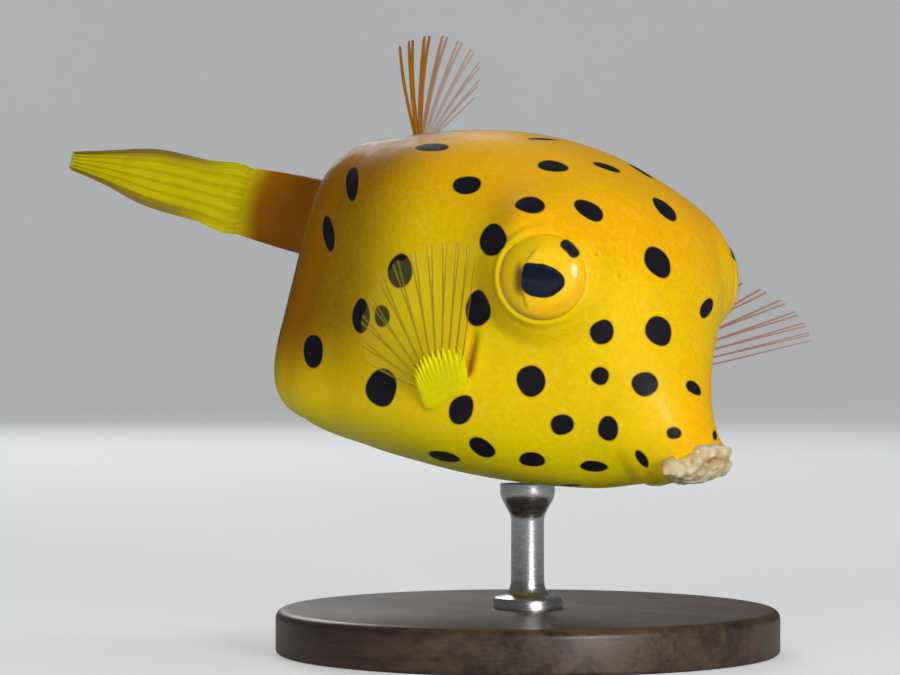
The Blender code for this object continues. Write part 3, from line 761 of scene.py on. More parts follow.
@dataclass
class SpotPattern:
    """All the spots: the ones that were seen, and more of the kind on the sides that were not."""

    seen: Table = (
        # across, down, wide, high and tilt in the picture
        (432, 147, 33, 9, 0), (543, 139, 30, 6, 0), (553, 166, 29, 12, -6), (607, 167, 29, 8, -18),
        (641, 171, 28, 8, -33), (467, 185, 28, 18, 0), (530, 204, 28, 16, -6), (589, 210, 31, 17, -28),
        (665, 209, 31, 13, -42), (352, 183, 13, 36, 0), (329, 234, 12, 36, 8), (400, 271, 24, 34, 0),
        (493, 240, 24, 31, 0), (658, 262, 33, 23, -50), (707, 308, 22, 12, 62), (361, 316, 18, 34, 0),
        (382, 316, 15, 22, 0), (479, 308, 26, 34, 0), (602, 332, 23, 24, 0), (659, 331, 30, 25, -50),
        (313, 351, 20, 35, 0), (531, 381, 27, 31, 0), (600, 376, 17, 18, 0), (645, 384, 25, 24, 0),
        (694, 388, 18, 11, -38), (381, 388, 31, 37, 0), (461, 410, 30, 23, 72), (562, 425, 22, 21, 0),
        (608, 429, 20, 24, 0), (674, 433, 14, 12, 0), (715, 435, 5, 9, 0), (482, 448, 29, 16, -33),
        (444, 457, 31, 11, -12), (532, 460, 26, 14, -8), (593, 469, 26, 11, -10), (642, 459, 19, 9, -55),
        (566, 486, 28, 5, 0),
    )
    apart: float = 6.2
    radius: Span = (1.05, 1.45)
    stretch: Span = (1.0, 1.2)
    tries: int = 5000
    seed: int = 11
    longest: float = 2.2  # how far a seen spot is drawn out where the skin turns away
    steepest: float = 0.12
    edge_on: float = 0.05
    unseen: float = 0.04
    span: Span = (-22.6, 15.0)
    off_eye: float = 5.4
    near: float = 6.0
    ends: Span = (0.004, 0.996)
    grid: tuple[int, int] = (260, 240)
    spots: list[Spot] = field(default_factory=list)

    def lay_out(self, view: Viewpoint) -> None:
        """Set every spot on the skin.

        Args:
            view: the camera through which the seen spots were placed.
        """
        draw = np.random.default_rng(self.seed)
        rings = BODY.even_ring(np.linspace(*self.ends, self.grid[0]), self.grid[1])
        corners = [tuple(point) for point in rings.reshape(-1, 3)]
        tree = BVHTree.FromPolygons(corners, tube_faces(*self.grid).tolist())
        right, up, back = view.fish_axes()
        origin = Vector(view.fish_place())
        for u, v, wide, high, tilt in self.seen:
            sight = Vector(view.sight(u, v))
            hit, normal, _, _ = tree.ray_cast(origin, sight)
            if hit is None:
                hit, normal, _, _ = tree.find_nearest(origin + sight * view.distance)
            middle, normal = np.array(hit), np.array(normal)
            if abs(normal @ back) > self.edge_on:
                normal = normal * math.copysign(1, normal @ back)
            facing = max(normal @ back, self.steepest)
            halves = []
            for size, turn in ((wide, tilt), (high, tilt + 90)):
                t = math.radians(turn)
                flat = math.cos(t) * right + math.sin(t) * up
                along = flat - (flat @ normal) / facing * back
                along = along / max(1.0, np.linalg.norm(along) / self.longest)
                halves.append(along * size / 2 * view.scale())
            self.spots.append(Spot(middle, normal, *halves, tuple(draw.uniform(0, 6, 3))))
        self.scatter(rings, back, draw)

    def scatter(self, rings: Array, back: Array, draw: np.random.Generator) -> None:
        """Draw spots for the sides that were not seen.

        Args:
            rings: points over the whole skin.
            back: the direction towards the camera.
            draw: the seeded source of chance.
        """
        cross = np.cross(np.gradient(rings, axis=0), np.roll(rings, -1, 1) - np.roll(rings, 1, 1))
        weight = np.linalg.norm(cross, axis=2).ravel()
        points, normals = rings.reshape(-1, 3), unit(cross).reshape(-1, 3)
        normals = normals * np.sign(((points - points.mean(axis=0)) * normals).sum(axis=1).mean())
        for pick in draw.choice(len(points), self.tries, p=weight / weight.sum()):
            point, normal = points[pick], normals[pick]
            if normal @ back > self.unseen or not self.span[0] <= point[0] <= self.span[1]:
                continue
            if any(np.linalg.norm(point - spot.middle) < self.apart for spot in self.spots):
                continue
            if any(seat.polar(point[None])[0][0] < self.off_eye for seat in SEATS.values()):
                continue
            first = unit(np.cross(normal, draw.normal(size=3)))
            size = draw.uniform(*self.radius)
            long = first * size * draw.uniform(*self.stretch)
            short = np.cross(normal, first) * size
            self.spots.append(Spot(point, normal, long, short, tuple(draw.uniform(0, 6, 3))))

    def distance(self, points: Array) -> Array:
        """How far each point lies outside the nearest spot's edge, in millimetres.

        Args:
            points: points of the skin.

        Returns:
            A distance for each.
        """
        nearest = np.full(len(points), FAR)
        for spot in self.spots:
            near = np.abs(points - spot.middle).max(axis=1) < self.near
            nearest[near] = np.minimum(nearest[near], spot.distance(points[near]))
        return nearest


class Tree:
    """A shader node tree, with short ways to add and join its nodes."""

    def __init__(self, tree: NodeTree) -> None:
        """Work on a tree."""
        self.tree = tree

    def feed(self, node: Node, inputs: dict) -> None:
        """Link or set inputs of a node.

        Args:
            node: the node.
            inputs: a value or an output for each input, by name or number.
        """
        for key, value in inputs.items():
            socket = node.inputs[key]
            if isinstance(value, NodeSocket):
                self.tree.links.new(value, socket)
            else:
                socket.default_value = (*value, 1.0) if socket.type == "RGBA" else value

    def add(self, kind: str, inputs: dict, **settings: object) -> Node:
        """Add a node.

        Args:
            kind: the node's type, without the prefix that all shader nodes share.
            inputs: a value or an output for each input, by name or number.
            settings: properties of the node itself.

        Returns:
            The node.
        """
        node = self.tree.nodes.new("ShaderNode" + kind)
        for key, value in settings.items():
            setattr(node, key, value)
        self.feed(node, inputs)
        return node

    def value(self, name: str) -> NodeSocket:
        """A number that is stored with the mesh."""
        return self.add("Attribute", {}, attribute_name=name).outputs["Fac"]

    def math(self, operation: str, *values: object) -> NodeSocket:
        """The outcome of a sum on numbers."""
        return self.add("Math", dict(enumerate(values)), operation=operation).outputs[0]

    def mix(self, share: object, first: object, second: object, blend: str = "MIX") -> NodeSocket:
        """A colour between two others.

        Args:
            share: how much of the second.
            first: a colour or an output.
            second: a colour or an output.
            blend: how the second is laid on.

        Returns:
            The colour.
        """
        inputs = {0: share, 6: first, 7: second}
        return self.add("Mix", inputs, data_type="RGBA", blend_type=blend).outputs[2]

    def span(self, value: object, low: object, high: object, start: float, end: float) -> NodeSocket:
        """A number carried smoothly from one range to another."""
        inputs = {0: value, 1: low, 2: high, 3: start, 4: end}
        return self.add("MapRange", inputs, interpolation_type="SMOOTHSTEP").outputs[0]


def new_group(name: str, inputs: str, outputs: str) -> tuple[Tree, NodeOutputs, Node]:
    """An empty shader node group.

    Args:
        name: the group's name.
        inputs: the names of its inputs. Place is a vector, Color a colour and any other a number.
        outputs: the names of its outputs.

    Returns:
        The group's tree, its inputs as outputs of a node inside, and the node that takes its outputs.
    """
    kinds = {"Place": "Vector", "Color": "Color"}
    tree = bpy.data.node_groups.new(name, "ShaderNodeTree")
    for way, names in (("INPUT", inputs), ("OUTPUT", outputs)):
        for key in names.split():
            kind = "NodeSocket" + kinds.get(key, "Float")
            tree.interface.new_socket(key, in_out=way, socket_type=kind)
    return Tree(tree), tree.nodes.new("NodeGroupInput").outputs, tree.nodes.new("NodeGroupOutput")


@dataclass
class Effects:
    """The shader node groups that the finishes share."""

    patch_detail: float = 5.0
    border_width: float = 0.12
    pore_scale: float = 7.0  # how much finer the pores are than the plates
    pore_detail: float = 4.0

    def __post_init__(self) -> None:
        """Make each group once."""
        self.mottle = self.make_mottle()
        self.grain = self.make_grain()
        self.edge = self.make_edge()

    def make_mottle(self) -> NodeTree:
        """Soft patches of lighter and darker colour.

        Returns:
            The group.
        """
        tree, given, out = new_group("mottle", "Place Color Scale Amount", "Color")
        inputs = {"Vector": given["Place"], "Scale": given["Scale"], "Detail": self.patch_detail}
        offset = tree.math("SUBTRACT", tree.add("TexNoise", inputs).outputs[0], 0.5)
        gain = tree.math("MULTIPLY_ADD", offset, given["Amount"], 1.0)
        scaled = tree.add("VectorMath", {0: given["Color"], "Scale": gain}, operation="SCALE")
        tree.feed(out, {"Color": scaled.outputs[0]})
        return tree.tree

    def make_grain(self) -> NodeTree:
        """Fine pores and the faint borders of plates, as a height.

        Returns:
            The group.
        """
        tree, given, out = new_group("grain", "Place Scale Plates Pores", "Height Border")
        inputs = {"Vector": given["Place"], "Scale": given["Scale"]}
        plate = tree.add("TexVoronoi", inputs, feature="DISTANCE_TO_EDGE")
        border = tree.span(plate.outputs["Distance"], 0.0, self.border_width, 1.0, 0.0)
        fine = tree.math("MULTIPLY", given["Scale"], self.pore_scale)
        pores = tree.add("TexNoise", {"Vector": given["Place"], "Scale": fine, "Detail": self.pore_detail})
        low = tree.math("MULTIPLY", border, given["Plates"])
        high = tree.math("MULTIPLY", pores.outputs[0], given["Pores"])
        tree.feed(out, {"Height": tree.math("SUBTRACT", high, low), "Border": border})
        return tree.tree

    def make_edge(self) -> NodeTree:
        """A mask that is 1 inside an edge, given the distance outside it.

        Returns:
            The group.
        """
        tree, given, out = new_group("edge", "Distance Softness", "Mask")
        low = tree.math("MULTIPLY", given["Softness"], -1.0)
        tree.feed(out, {"Mask": tree.span(given["Distance"], low, given["Softness"], 1.0, 0.0)})
        return tree.tree


class Coat(Tree):
    """A material under way: its nodes, its shader and the effects that all finishes share."""

    def __init__(self, name: str, effects: Effects) -> None:
        """Begin a material.

        Args:
            name: the finish's name.
            effects: the shared node groups.
        """
        self.material = bpy.data.materials.new(name)
        self.material.use_nodes = True
        super().__init__(self.material.node_tree)
        self.shader = self.tree.nodes["Principled BSDF"]
        self.effects = effects
        self.place = self.add("TexCoord", {}).outputs["Object"]

    def mottle(self, color: object, scale: float, amount: float) -> NodeSocket:
        """A colour with soft lighter and darker patches."""
        inputs = {"Place": self.place, "Color": color, "Scale": scale, "Amount": amount}
        return self.add("Group", inputs, node_tree=self.effects.mottle).outputs[0]

    def lay(self, color: Color, **tones: Color) -> NodeSocket:
        """A colour with tones laid on, each by the share that is stored under its name.

        Args:
            color: the colour below.
            tones: the tones by name.

        Returns:
            The colour.
        """
        for name, tone in tones.items():
            color = self.mix(self.value(name), color, tone)
        return color

    def grain(self, scale: float, plates: float, pores: float) -> Node:
        """Pores and the borders of plates."""
        inputs = {"Place": self.place, "Scale": scale, "Plates": plates, "Pores": pores}
        return self.add("Group", inputs, node_tree=self.effects.grain)

    def inside(self, name: str, softness: float) -> NodeSocket:
        """A mask that is 1 inside an edge, the distance outside it being stored with the mesh."""
        inputs = {"Distance": self.value(name), "Softness": softness}
        return self.add("Group", inputs, node_tree=self.effects.edge).outputs[0]

    def stretched(self, scale: Triple) -> NodeSocket:
        """The place on the object, scaled along its axes."""
        return self.add("Mapping", {"Vector": self.place, "Scale": scale}).outputs[0]

    def noise(
        self, scale: float, detail: float, place: NodeSocket | None = None, distortion: float = 0.0
    ) -> NodeSocket:
        """Noise over the surface.

        Args:
            scale: how many waves to the metre.
            detail: how many finer waves are laid over them.
            place: where on the object, unless it is the plain place.
            distortion: how far the waves are bent.

        Returns:
            A number from 0 to 1.
        """
        inputs = {"Vector": place or self.place, "Scale": scale, "Detail": detail, "Distortion": distortion}
        return self.add("TexNoise", inputs).outputs[0]

    def bump(self, height: NodeSocket, strength: float, distance: float) -> NodeSocket:
        """The normal over a fine relief, its depth in metres."""
        return self.add("Bump", {"Height": height, "Strength": strength, "Distance": distance}).outputs[0]

    def finished(self, **inputs: object) -> Material:
        """Set the shader's inputs, named with underscores, and hand over the material.

        Args:
            inputs: a value or an output for each input of the shader.

        Returns:
            The material.
        """
        names = {name.lower().replace(" ", "_"): name for name in self.shader.inputs.keys()}
        self.feed(self.shader, {names[key]: value for key, value in inputs.items()})
        return self.material


@dataclass(frozen=True)
class SkinFinish:
    """Moist yellow skin over bony plates, with dark spots."""

    lemon: Color = (0.82, 0.70, 0.0)
    orange: Color = (0.88, 0.45, 0.0)
    # painted shade: the skin is multiplied darker towards the tail on the upper flank, where the light falls
    # off
    flank_shade: Color = (0.37, 0.31, 0.2)
    # painted shade: the dark brown over the tail stem and the body's rear end
    stem: Color = (0.28, 0.095, 0.0)
    brush: Color = (0.60, 0.54, 0.0)
    # the pad's brighter lemon: partly its own paler flesh, partly painted light where it stands out into the
    # light
    fleshy: Color = (0.86, 0.77, 0.0)
    # painted shade in creases: the gill slit, round the eyes, in the nostrils and in the chin's fold
    slit: Color = (0.58, 0.31, 0.0)
    border: Color = (0.95, 0.80, 0.35)
    border_share: float = 0.03
    spot: Color = (0.010, 0.009, 0.013)
    halo: Color = (0.30, 0.20, 0.004)
    halo_share: float = 0.5

    def material(self, effects: Effects) -> Material:
        """Build the finish.

        Args:
            effects: the shared node groups.

        Returns:
            The material.
        """
        coat = Coat("skin", effects)
        color = coat.lay(self.orange, lemon=self.lemon)
        # painted shade, multiplied in towards the tail
        color = coat.mix(coat.value("flank_shade"), color, self.flank_shade, "MULTIPLY")
        # painted shade: brown over the tail stem and the rear, easing to the fin's yellow near the tail fin
        rear = coat.value("rear")
        color = coat.mix(rear, color, coat.mix(coat.value("finward"), self.stem, self.brush))
        # brighter lemon on the pads, partly painted light
        color = coat.lay(color, pad=self.fleshy)
        color = coat.mottle(color, scale=260.0, amount=0.16)
        color = coat.mottle(color, scale=1700.0, amount=0.2)
        grain = coat.grain(scale=900.0, plates=0.12, pores=0.35)
        share = coat.math("MULTIPLY_ADD", rear, -self.border_share, self.border_share)
        color = coat.mix(coat.math("MULTIPLY", grain.outputs["Border"], share), color, self.border)
        # painted shade laid into the creases
        color = coat.lay(color, crease=self.slit)
        halo = coat.math("MULTIPLY", coat.inside("spot", softness=0.22), self.halo_share)
        color = coat.mix(halo, color, self.halo)
        color = coat.mix(coat.inside("spot", softness=0.09), color, self.spot)
        return coat.finished(
            base_color=color,
            roughness=coat.span(coat.noise(scale=900.0, detail=3.0), 0.3, 0.7, 0.36, 0.52),
            normal=coat.bump(grain.outputs["Height"], strength=0.35, distance=0.00008),
            coat_weight=0.03,
            coat_roughness=0.14,
            specular_ior_level=0.11,
            subsurface_weight=0.18,
            subsurface_radius=(1.0, 0.45, 0.05),
            subsurface_scale=0.0009,
        )


@dataclass(frozen=True)
class EyeFinish:
    """A wet eye: golden iris and blue-black pupil."""

    gold: Color = (0.94, 0.56, 0.002)
    amber: Color = (0.90, 0.45, 0.0)
    # painted shade: the darker olive-gold where the iris turns away behind the pupil, under the brow and low
    # down
    olive: Color = (0.70, 0.46, 0.0)
    # painted shade: the brown of the shadow behind the pupil, of the iris's folds and low down; also the
    # pupil's dark rim
    brown: Color = (0.11, 0.048, 0.0)
    rim_share: float = 0.6
    pupil: Color = (0.001, 0.006, 0.020)
    spot: Color = (0.010, 0.009, 0.013)

    def material(self, effects: Effects) -> Material:
        """Build the finish.

        Args:
            effects: the shared node groups.

        Returns:
            The material.
        """
        coat = Coat("eye", effects)
        # olive is painted shade on the iris
        color = coat.lay(self.gold, amber=self.amber, olive=self.olive)
        color = coat.lay(coat.mottle(color, scale=1600.0, amount=0.24), brown=self.brown)
        color = coat.mix(coat.inside("spot", softness=0.08), color, self.spot)
        rim = coat.math("MULTIPLY", coat.inside("pupil", softness=0.12), self.rim_share)
        color = coat.mix(rim, color, self.brown)
        pupil = coat.inside("pupil", softness=0.05)
        iris = coat.math("SUBTRACT", 1.0, pupil)
        relief = coat.math("MULTIPLY", coat.noise(scale=2500.0, detail=3.0), iris)
        return coat.finished(
            base_color=coat.mix(pupil, color, self.pupil),
            normal=coat.bump(relief, strength=0.2, distance=0.00005),
            roughness=coat.span(pupil, 0.0, 1.0, 0.4, 0.16),
            specular_ior_level=0.12,
            coat_weight=0.4,
            coat_roughness=0.11,
        )


@dataclass(frozen=True)
class CorneaFinish:
    """The clear window over the iris, pinkish where it meets the skin."""

    color: Color = (0.85, 0.60, 0.42)
    rim_share: float = 0.5

    def material(self, effects: Effects) -> Material:
        """Build the finish.

        Args:
            effects: the shared node groups.

        Returns:
            The material.
        """
        coat = Coat("cornea", effects)
        facing = coat.add("LayerWeight", {"Blend": 0.5}).outputs["Facing"]
        rim = coat.math("MULTIPLY", coat.value("rim"), self.rim_share)
        return coat.finished(
            base_color=coat.mottle(self.color, scale=900.0, amount=0.2),
            alpha=coat.math("MAXIMUM", coat.span(facing, 0.7, 1.0, 0.002, 0.22), rim),
            roughness=0.13,
            specular_ior_level=0.4,
        )


@dataclass(frozen=True)
class LipFinish:
    """Cream lumpy flesh with paler lumps, and painted shade on the underside."""

    cream: Color = (0.60, 0.46, 0.23)
    pale: Color = (0.76, 0.68, 0.52)
    # painted shade under the lips
    shade: Color = (0.46, 0.33, 0.10)
    # painted shade in the mouth's gape and the groove between the lips
    inside: Color = (0.40, 0.17, 0.02)

    def material(self, effects: Effects) -> Material:
        """Build the finish.

        Args:
            effects: the shared node groups.

        Returns:
            The material.
        """
        coat = Coat("lip", effects)
        color = coat.lay(self.cream, pale=self.pale, under=self.shade)
        color = coat.lay(coat.mottle(color, scale=1400.0, amount=0.4), inside=self.inside)
        grain = coat.grain(scale=2600.0, plates=0.2, pores=0.8)
        return coat.finished(
            base_color=color,
            normal=coat.bump(grain.outputs["Height"], strength=0.45, distance=0.0001),
            roughness=0.5,
            specular_ior_level=0.3,
            coat_weight=0.08,
            coat_roughness=0.2,
            subsurface_weight=0.25,
            subsurface_radius=(1.0, 0.5, 0.2),
            subsurface_scale=0.0008,
        )


@dataclass(frozen=True)
class FinFinish:
    """Fine rays in a membrane."""

    name: str
    ray: Color
    line: Color
    web: Color
    clear: float  # alpha of the membrane
    solid: float  # alpha of the rays
    outer: Color = (0.24, 0.17, 0.0)
    outer_clear: float = 0.2
    # the darker orange-brown at the fin's root: partly the fin's own colour, partly painted shade where the
    # fin leaves the body
    root: Color = (0.42, 0.22, 0.0)

    def material(self, effects: Effects) -> Material:
        """Build the finish.

        Args:
            effects: the shared node groups.

        Returns:
            The material.
        """
        coat = Coat(self.name, effects)
        color = coat.lay(self.web, ray=self.ray, line=self.line, outer=self.outer, root=self.root)
        strength = coat.math("MAXIMUM", coat.value("ray"), coat.value("line"))
        alpha = coat.span(strength, 0.0, 1.0, self.clear, self.solid)
        thinner = coat.math("MULTIPLY_ADD", coat.value("outer"), -self.outer_clear, 1.0)
        grain = coat.grain(scale=2200.0, plates=0.3, pores=0.5)
        return coat.finished(
            base_color=coat.mottle(color, scale=900.0, amount=0.3),
            alpha=coat.math("MULTIPLY", alpha, thinner),
            normal=coat.bump(grain.outputs["Height"], strength=0.2, distance=0.00005),
            roughness=0.45,
            specular_ior_level=0.12,
        )


@dataclass(frozen=True)
class WoodFinish:
    """Dark stained wood, satin."""

    dark: Color = (0.030, 0.017, 0.010)
    light: Color = (0.085, 0.048, 0.026)
    stretch: Triple = (0.09, 1.0, 1.0)

    def material(self, effects: Effects) -> Material:
        """Build the finish.

        Args:
            effects: the shared node groups.

        Returns:
            The material.
        """
        coat = Coat("stand_wood", effects)
        place = coat.stretched(self.stretch)
        bands = coat.noise(scale=260.0, detail=6.0, place=place, distortion=1.2)
        fibre = coat.noise(scale=2600.0, detail=3.0, place=place)
        grain = coat.math("MULTIPLY_ADD", fibre, 0.35, coat.math("MULTIPLY", bands, 0.7))
        color = coat.mix(coat.span(grain, 0.38, 0.68, 0.0, 1.0), self.dark, self.light)
        return coat.finished(
            base_color=coat.mottle(color, scale=60.0, amount=0.3),
            roughness=coat.span(grain, 0.3, 0.8, 0.32, 0.46),
            normal=coat.bump(fibre, strength=0.15, distance=0.00006),
        )


@dataclass(frozen=True)
class SteelFinish:
    """Satin steel with fine turning marks."""

    color: Color = (0.56, 0.56, 0.57)
    stretch: Triple = (0.1, 0.1, 1.0)

    def material(self, effects: Effects) -> Material:
        """Build the finish.

        Args:
            effects: the shared node groups.

        Returns:
            The material.
        """
        coat = Coat("stand_metal", effects)
        marks = coat.noise(scale=9000.0, detail=2.0, place=coat.stretched(self.stretch))
        return coat.finished(
            base_color=coat.mottle(self.color, scale=400.0, amount=0.12),
            roughness=coat.span(marks, 0.3, 0.7, 0.22, 0.36),
            normal=coat.bump(marks, strength=0.1, distance=0.00002),
            metallic=1.0,
        )


@dataclass(frozen=True)
class PaperFinish:
    """The pale floor of the studio."""

    color: Color = (0.62, 0.63, 0.64)
    glow: float = 0.5

    def material(self, effects: Effects) -> Material:
        """Build the finish.

        Args:
            effects: the shared node groups.

        Returns:
            The material.
        """
        coat = Coat("floor", effects)
        color = coat.mottle(self.color, scale=6.0, amount=0.05)
        seen = coat.add("LightPath", {}).outputs["Is Camera Ray"]
        glow = coat.math("MULTIPLY", seen, self.glow)
        return coat.finished(base_color=color, emission_color=color, emission_strength=glow, roughness=0.8)


@dataclass
class Relief:
    """The plain skin, how its corners move, and how much painted shade each gets in its creases."""

    points: Array
    normals: Array

    def __post_init__(self) -> None:
        """Begin with a smooth, even skin."""
        self.move, self.crease = np.zeros_like(self.points), np.zeros(len(self.points))

    def press(self, here: Array, push: Array, way: Array, dark: Array) -> None:
        """Move the skin and paint shade into it.

        Args:
            here: which corners it is for.
            push: how far each moves.
            way: the direction of the move.
            dark: how much painted shade each gets.
        """
        self.move += np.where(here, push, 0)[:, None] * way
        self.crease = np.maximum(self.crease, np.where(here, dark, 0))


@dataclass(frozen=True)
class Notch:
    """The fold of the chin behind the lips."""

    x: float = 13.2
    before: float = 1.2
    behind: float = 4.0
    depth: float = 0.62
    end: float = 4.0
    facing_down: Span = (0.1, 0.7)
    shade_middle: Triple = (15.6, 0, -13.6)
    shade_size: Triple = (1.5, 9.0, 2.4)
    shade: float = 0.5

    def press(self, relief: Relief) -> None:
        """Press the fold up into the skin.

        Args:
            relief: what to add to.
        """
        x = relief.points[:, 0]
        notch = hump(x - self.x, np.where(x - self.x > 0, self.before, self.behind))
        notch = notch * step_up(-relief.normals[:, 2], *self.facing_down)
        relief.move[:, 2] += self.depth * notch * (x > self.end)

    def dark(self, points: Array) -> Array:
        """How much painted shade the skin gets in the fold, at the sides and below."""
        away = (points - self.shade_middle) / self.shade_size
        return self.shade * hump(np.linalg.norm(away, axis=1), 1.0)


@dataclass(frozen=True)
class Lid:
    """The skin round an eye: a turret, one thin fold behind the eye, and the socket."""

    reach: float = 7.0
    deep: float = 6.0
    turret: Triple = (3.75, 6.6, 0.16)  # inner and outer radius, height at the eye
    turret_slope: float = 0.5
    sink: float = 0.4  # how far the skin sinks where it is above the turret
    flattest: float = 18.0
    fold: Triple = (4.17, 0.27, 0.24)  # radius, height and width
    fold_least: float = 0.06
    valley: Triple = (4.62, 0.10, 0.24)
    valley_shade: Triple = (4.66, 0.30, 0.22)
    under_shade: Triple = (3.8, 0.5, 0.18)
    under: Span = (0.55, 1.0)
    socket_radius: Span = (2.97, 3.72)
    socket_depth: float = 2.6

    def press(self, relief: Relief, seat: EyeSeat) -> None:
        """Shape the skin round an eye.

        Args:
            relief: what to add to.
            seat: the eye's seat.
        """
        reach, turn, out = seat.polar(relief.points)
        near = (reach < self.reach) & (relief.points[:, 1] * seat.side.value > 0) & (out > -self.deep)
        inner, outer, height = self.turret
        gap = height - self.turret_slope * (reach - inner) - out
        rise = np.where(gap > 0, gap, self.sink * gap) * (1 - step_up(reach, inner, outer))
        behind = 0.5 - 0.5 * np.cos(turn - math.radians(self.flattest))
        radius, height, width = self.fold
        share = self.fold_least + (1 - self.fold_least) * behind**1.5
        fold = height * share * hump(reach - radius, width)
        radius, depth, width = self.valley
        fold -= depth * behind * hump(reach - radius, width)
        socket = -self.socket_depth * (1 - step_up(reach, *self.socket_radius))
        radius, shade, width = self.under_shade
        under = shade * step_up(-np.sin(turn), *self.under) * hump(reach - radius, width)
        radius, shade, width = self.valley_shade
        valley = shade * behind**2 * hump(reach - radius, width)
        relief.press(near, rise + fold + socket, seat.out, under + valley)


@dataclass(frozen=True)
class GillSlit:
    """The slit in the flank, with a flap of skin ahead of it."""

    x: float = 2.05
    z: float = -4.9
    half: Span = (0.42, 2.8)
    depth: float = 0.5
    lean: float = 6.0
    flap: Triple = (0.16, 0.85, 0.45)  # height, how far ahead of the slit, width
    shade: float = 0.85
    shade_span: Span = (0.05, 0.9)

    def press(self, relief: Relief, side: Side, bare: Array) -> None:
        """Cut the slit into a flank.

        Args:
            relief: what to add to.
            side: which flank.
            bare: how far each point is free of a pad.
        """
        points = relief.points
        sine, cosine = math.sin(math.radians(self.lean)), math.cos(math.radians(self.lean))
        x, z = points[:, 0] - self.x, points[:, 2] - self.z
        across, along = x * cosine - z * sine, x * sine + z * cosine
        length = np.clip(1 - (along / self.half[1]) ** 2, 0, 1) * bare
        hollow = hump(across, self.half[0]) * length
        height, ahead, width = self.flap
        push = height * hump(across - ahead, width) * length - self.depth * hollow
        dark = self.shade * step_up(hollow, *self.shade_span)
        relief.press(points[:, 1] * side.value > 0, push, relief.normals, dark)


@dataclass(frozen=True)
class Nostrils:
    """The two short tubes ahead of each eye."""

    places: tuple[Span, ...] = ((13.5, 3.9), (12.2, 5.6))
    reach: float = 2.0
    rim: Triple = (0.06, 0.32, 0.18)  # height, radius and width
    bore: Span = (0.2, 0.14)  # depth and radius
    shade: float = 0.5

    def press(self, relief: Relief, side: Side) -> None:
        """Raise the tubes on a flank.

        Args:
            relief: what to add to.
            side: which flank.
        """
        height, radius, width = self.rim
        depth, bore = self.bore
        for x, z in self.places:
            middle, normal = BODY.flank(x, z, side)
            away = relief.points - middle
            off = np.linalg.norm(away - (away @ normal)[:, None] * normal, axis=1)
            push = height * hump(off - radius, width) - depth * hump(off, bore)
            relief.press(np.abs(away).max(axis=1) < self.reach, push, normal, self.shade * hump(off, bore))


@dataclass(frozen=True)
class Tones:
    """Where the skin changes colour: spans of a normal's height, of x or of the depth below zero."""

    lemon_turns: tuple[Span, Span] = ((-0.75, 0.1), (0.12, 0.85))
    patch_middle: Span = (-4.0, -2.5)
    patch_size: Span = (7.0, 5.0)
    patch: float = 0.28
    cheek: float = 0.06
    cheek_x: Span = (4.0, 12.0)
    cheek_depth: Span = (5.0, 13.0)
    flank_shade_back: Span = (4.0, 14.5)
    flank_shade_depth: Span = (3.0, 12.5)
    # where the brown painted shade lies: the body's rear end, and the upper rear flank
    end_back: Span = (22.8, 25.0)
    rear_back: Span = (14.0, 19.5)
    rear_up: Span = (0.3, 0.8)
    rear_depth: Span = (4.0, 13.0)
    rear: float = 0.85
    fin_reach: Span = (9.9, 13.4)
    fin_x: float = -30.0

    def values(self, points: Array, normals: Array) -> dict[str, Array]:
        """The share of each tone.

        Args:
            points: points of the skin.
            normals: its outward normals, before it is folded.

        Returns:
            Values by name: lemon, none on the back and all on the belly; flank_shade, painted shade
            towards the tail on the upper flank; rear, brown painted shade over the tail stem and the
            body's rear end; finward, near the tail fin.
        """
        x, back, depth, up = points[:, 0], -points[:, 0], -points[:, 2], normals[:, 2]
        lemon = sum(0.5 * step_up(-up, *turn) for turn in self.lemon_turns)
        patch = np.linalg.norm((points[:, [0, 2]] - self.patch_middle) / self.patch_size, axis=1)
        cheek = step_up(x, *self.cheek_x) * (1 - step_up(depth, *self.cheek_depth))
        lemon = lemon + self.patch * hump(patch, 1.0) - self.cheek * cheek
        # painted shade towards the tail, fading out low on the flank
        flank_shade = step_up(back, *self.flank_shade_back) * (1 - step_up(depth, *self.flank_shade_depth))
        upright = (1 - step_up(up, *self.rear_up)) * (1 - step_up(depth, *self.rear_depth))
        rear = self.rear * upright * step_up(back, *self.rear_back)
        from_root = np.linalg.norm(points - np.array(TAIL.root), axis=1)
        return {
            "lemon": np.clip(lemon, 0, 1),
            "flank_shade": flank_shade,
            "rear": np.maximum(step_up(back, *self.end_back), rear),
            "finward": step_up(from_root, *self.fin_reach) * (x < self.fin_x),
        }


@dataclass(frozen=True)
class Pad:
    """The fleshy root of a breast fin, toothed where the rays leave it."""

    side: Side
    grid: tuple[int, int] = (240, 70)
    thick: float = 1.8
    edge: float = 0.75
    teeth: int = 14
    tooth: float = 0.75
    tooth_root: float = 0.3
    ripple: float = 0.12
    ripple_span: Span = (0.84, 1.0)

    def build(self) -> Object:
        """Make the pad, a body of its own that is rooted in the flank.

        Returns:
            The pad.
        """
        plan = BreastFinPlan(self.side)
        across = np.linspace(0, 1, self.grid[0])
        along = np.linspace(0, 1, self.grid[1])
        root, edge = plan.root(across), plan.edge(across)
        place = across * self.teeth
        spike = (1 - np.abs(2 * (place - np.floor(place)) - 1)) ** 1.3 * self.tooth - self.tooth_root
        length = np.linalg.norm(edge - root, axis=1)
        share = along[:, None] + (spike / length)[None, :] * along[:, None] ** 3
        sheet = root[None] + (edge - root)[None] * share[..., None]
        round_end = np.sqrt(np.clip(1 - (2 * across - 1) ** 6, 0.03, 1))
        round_tip = np.sqrt(np.clip(1 - along**10, 0.05, 1))
        thickness = (self.thick + (self.edge - self.thick) * along)[:, None] * round_end[None, :]
        waves = step_up(along, *self.ripple_span)[:, None] * np.cos(math.tau * place)[None, :]
        thickness = thickness * round_tip[:, None] * (1 - self.ripple * waves)
        return mesh_object("pad", *vane_arrays(sheet, thickness))


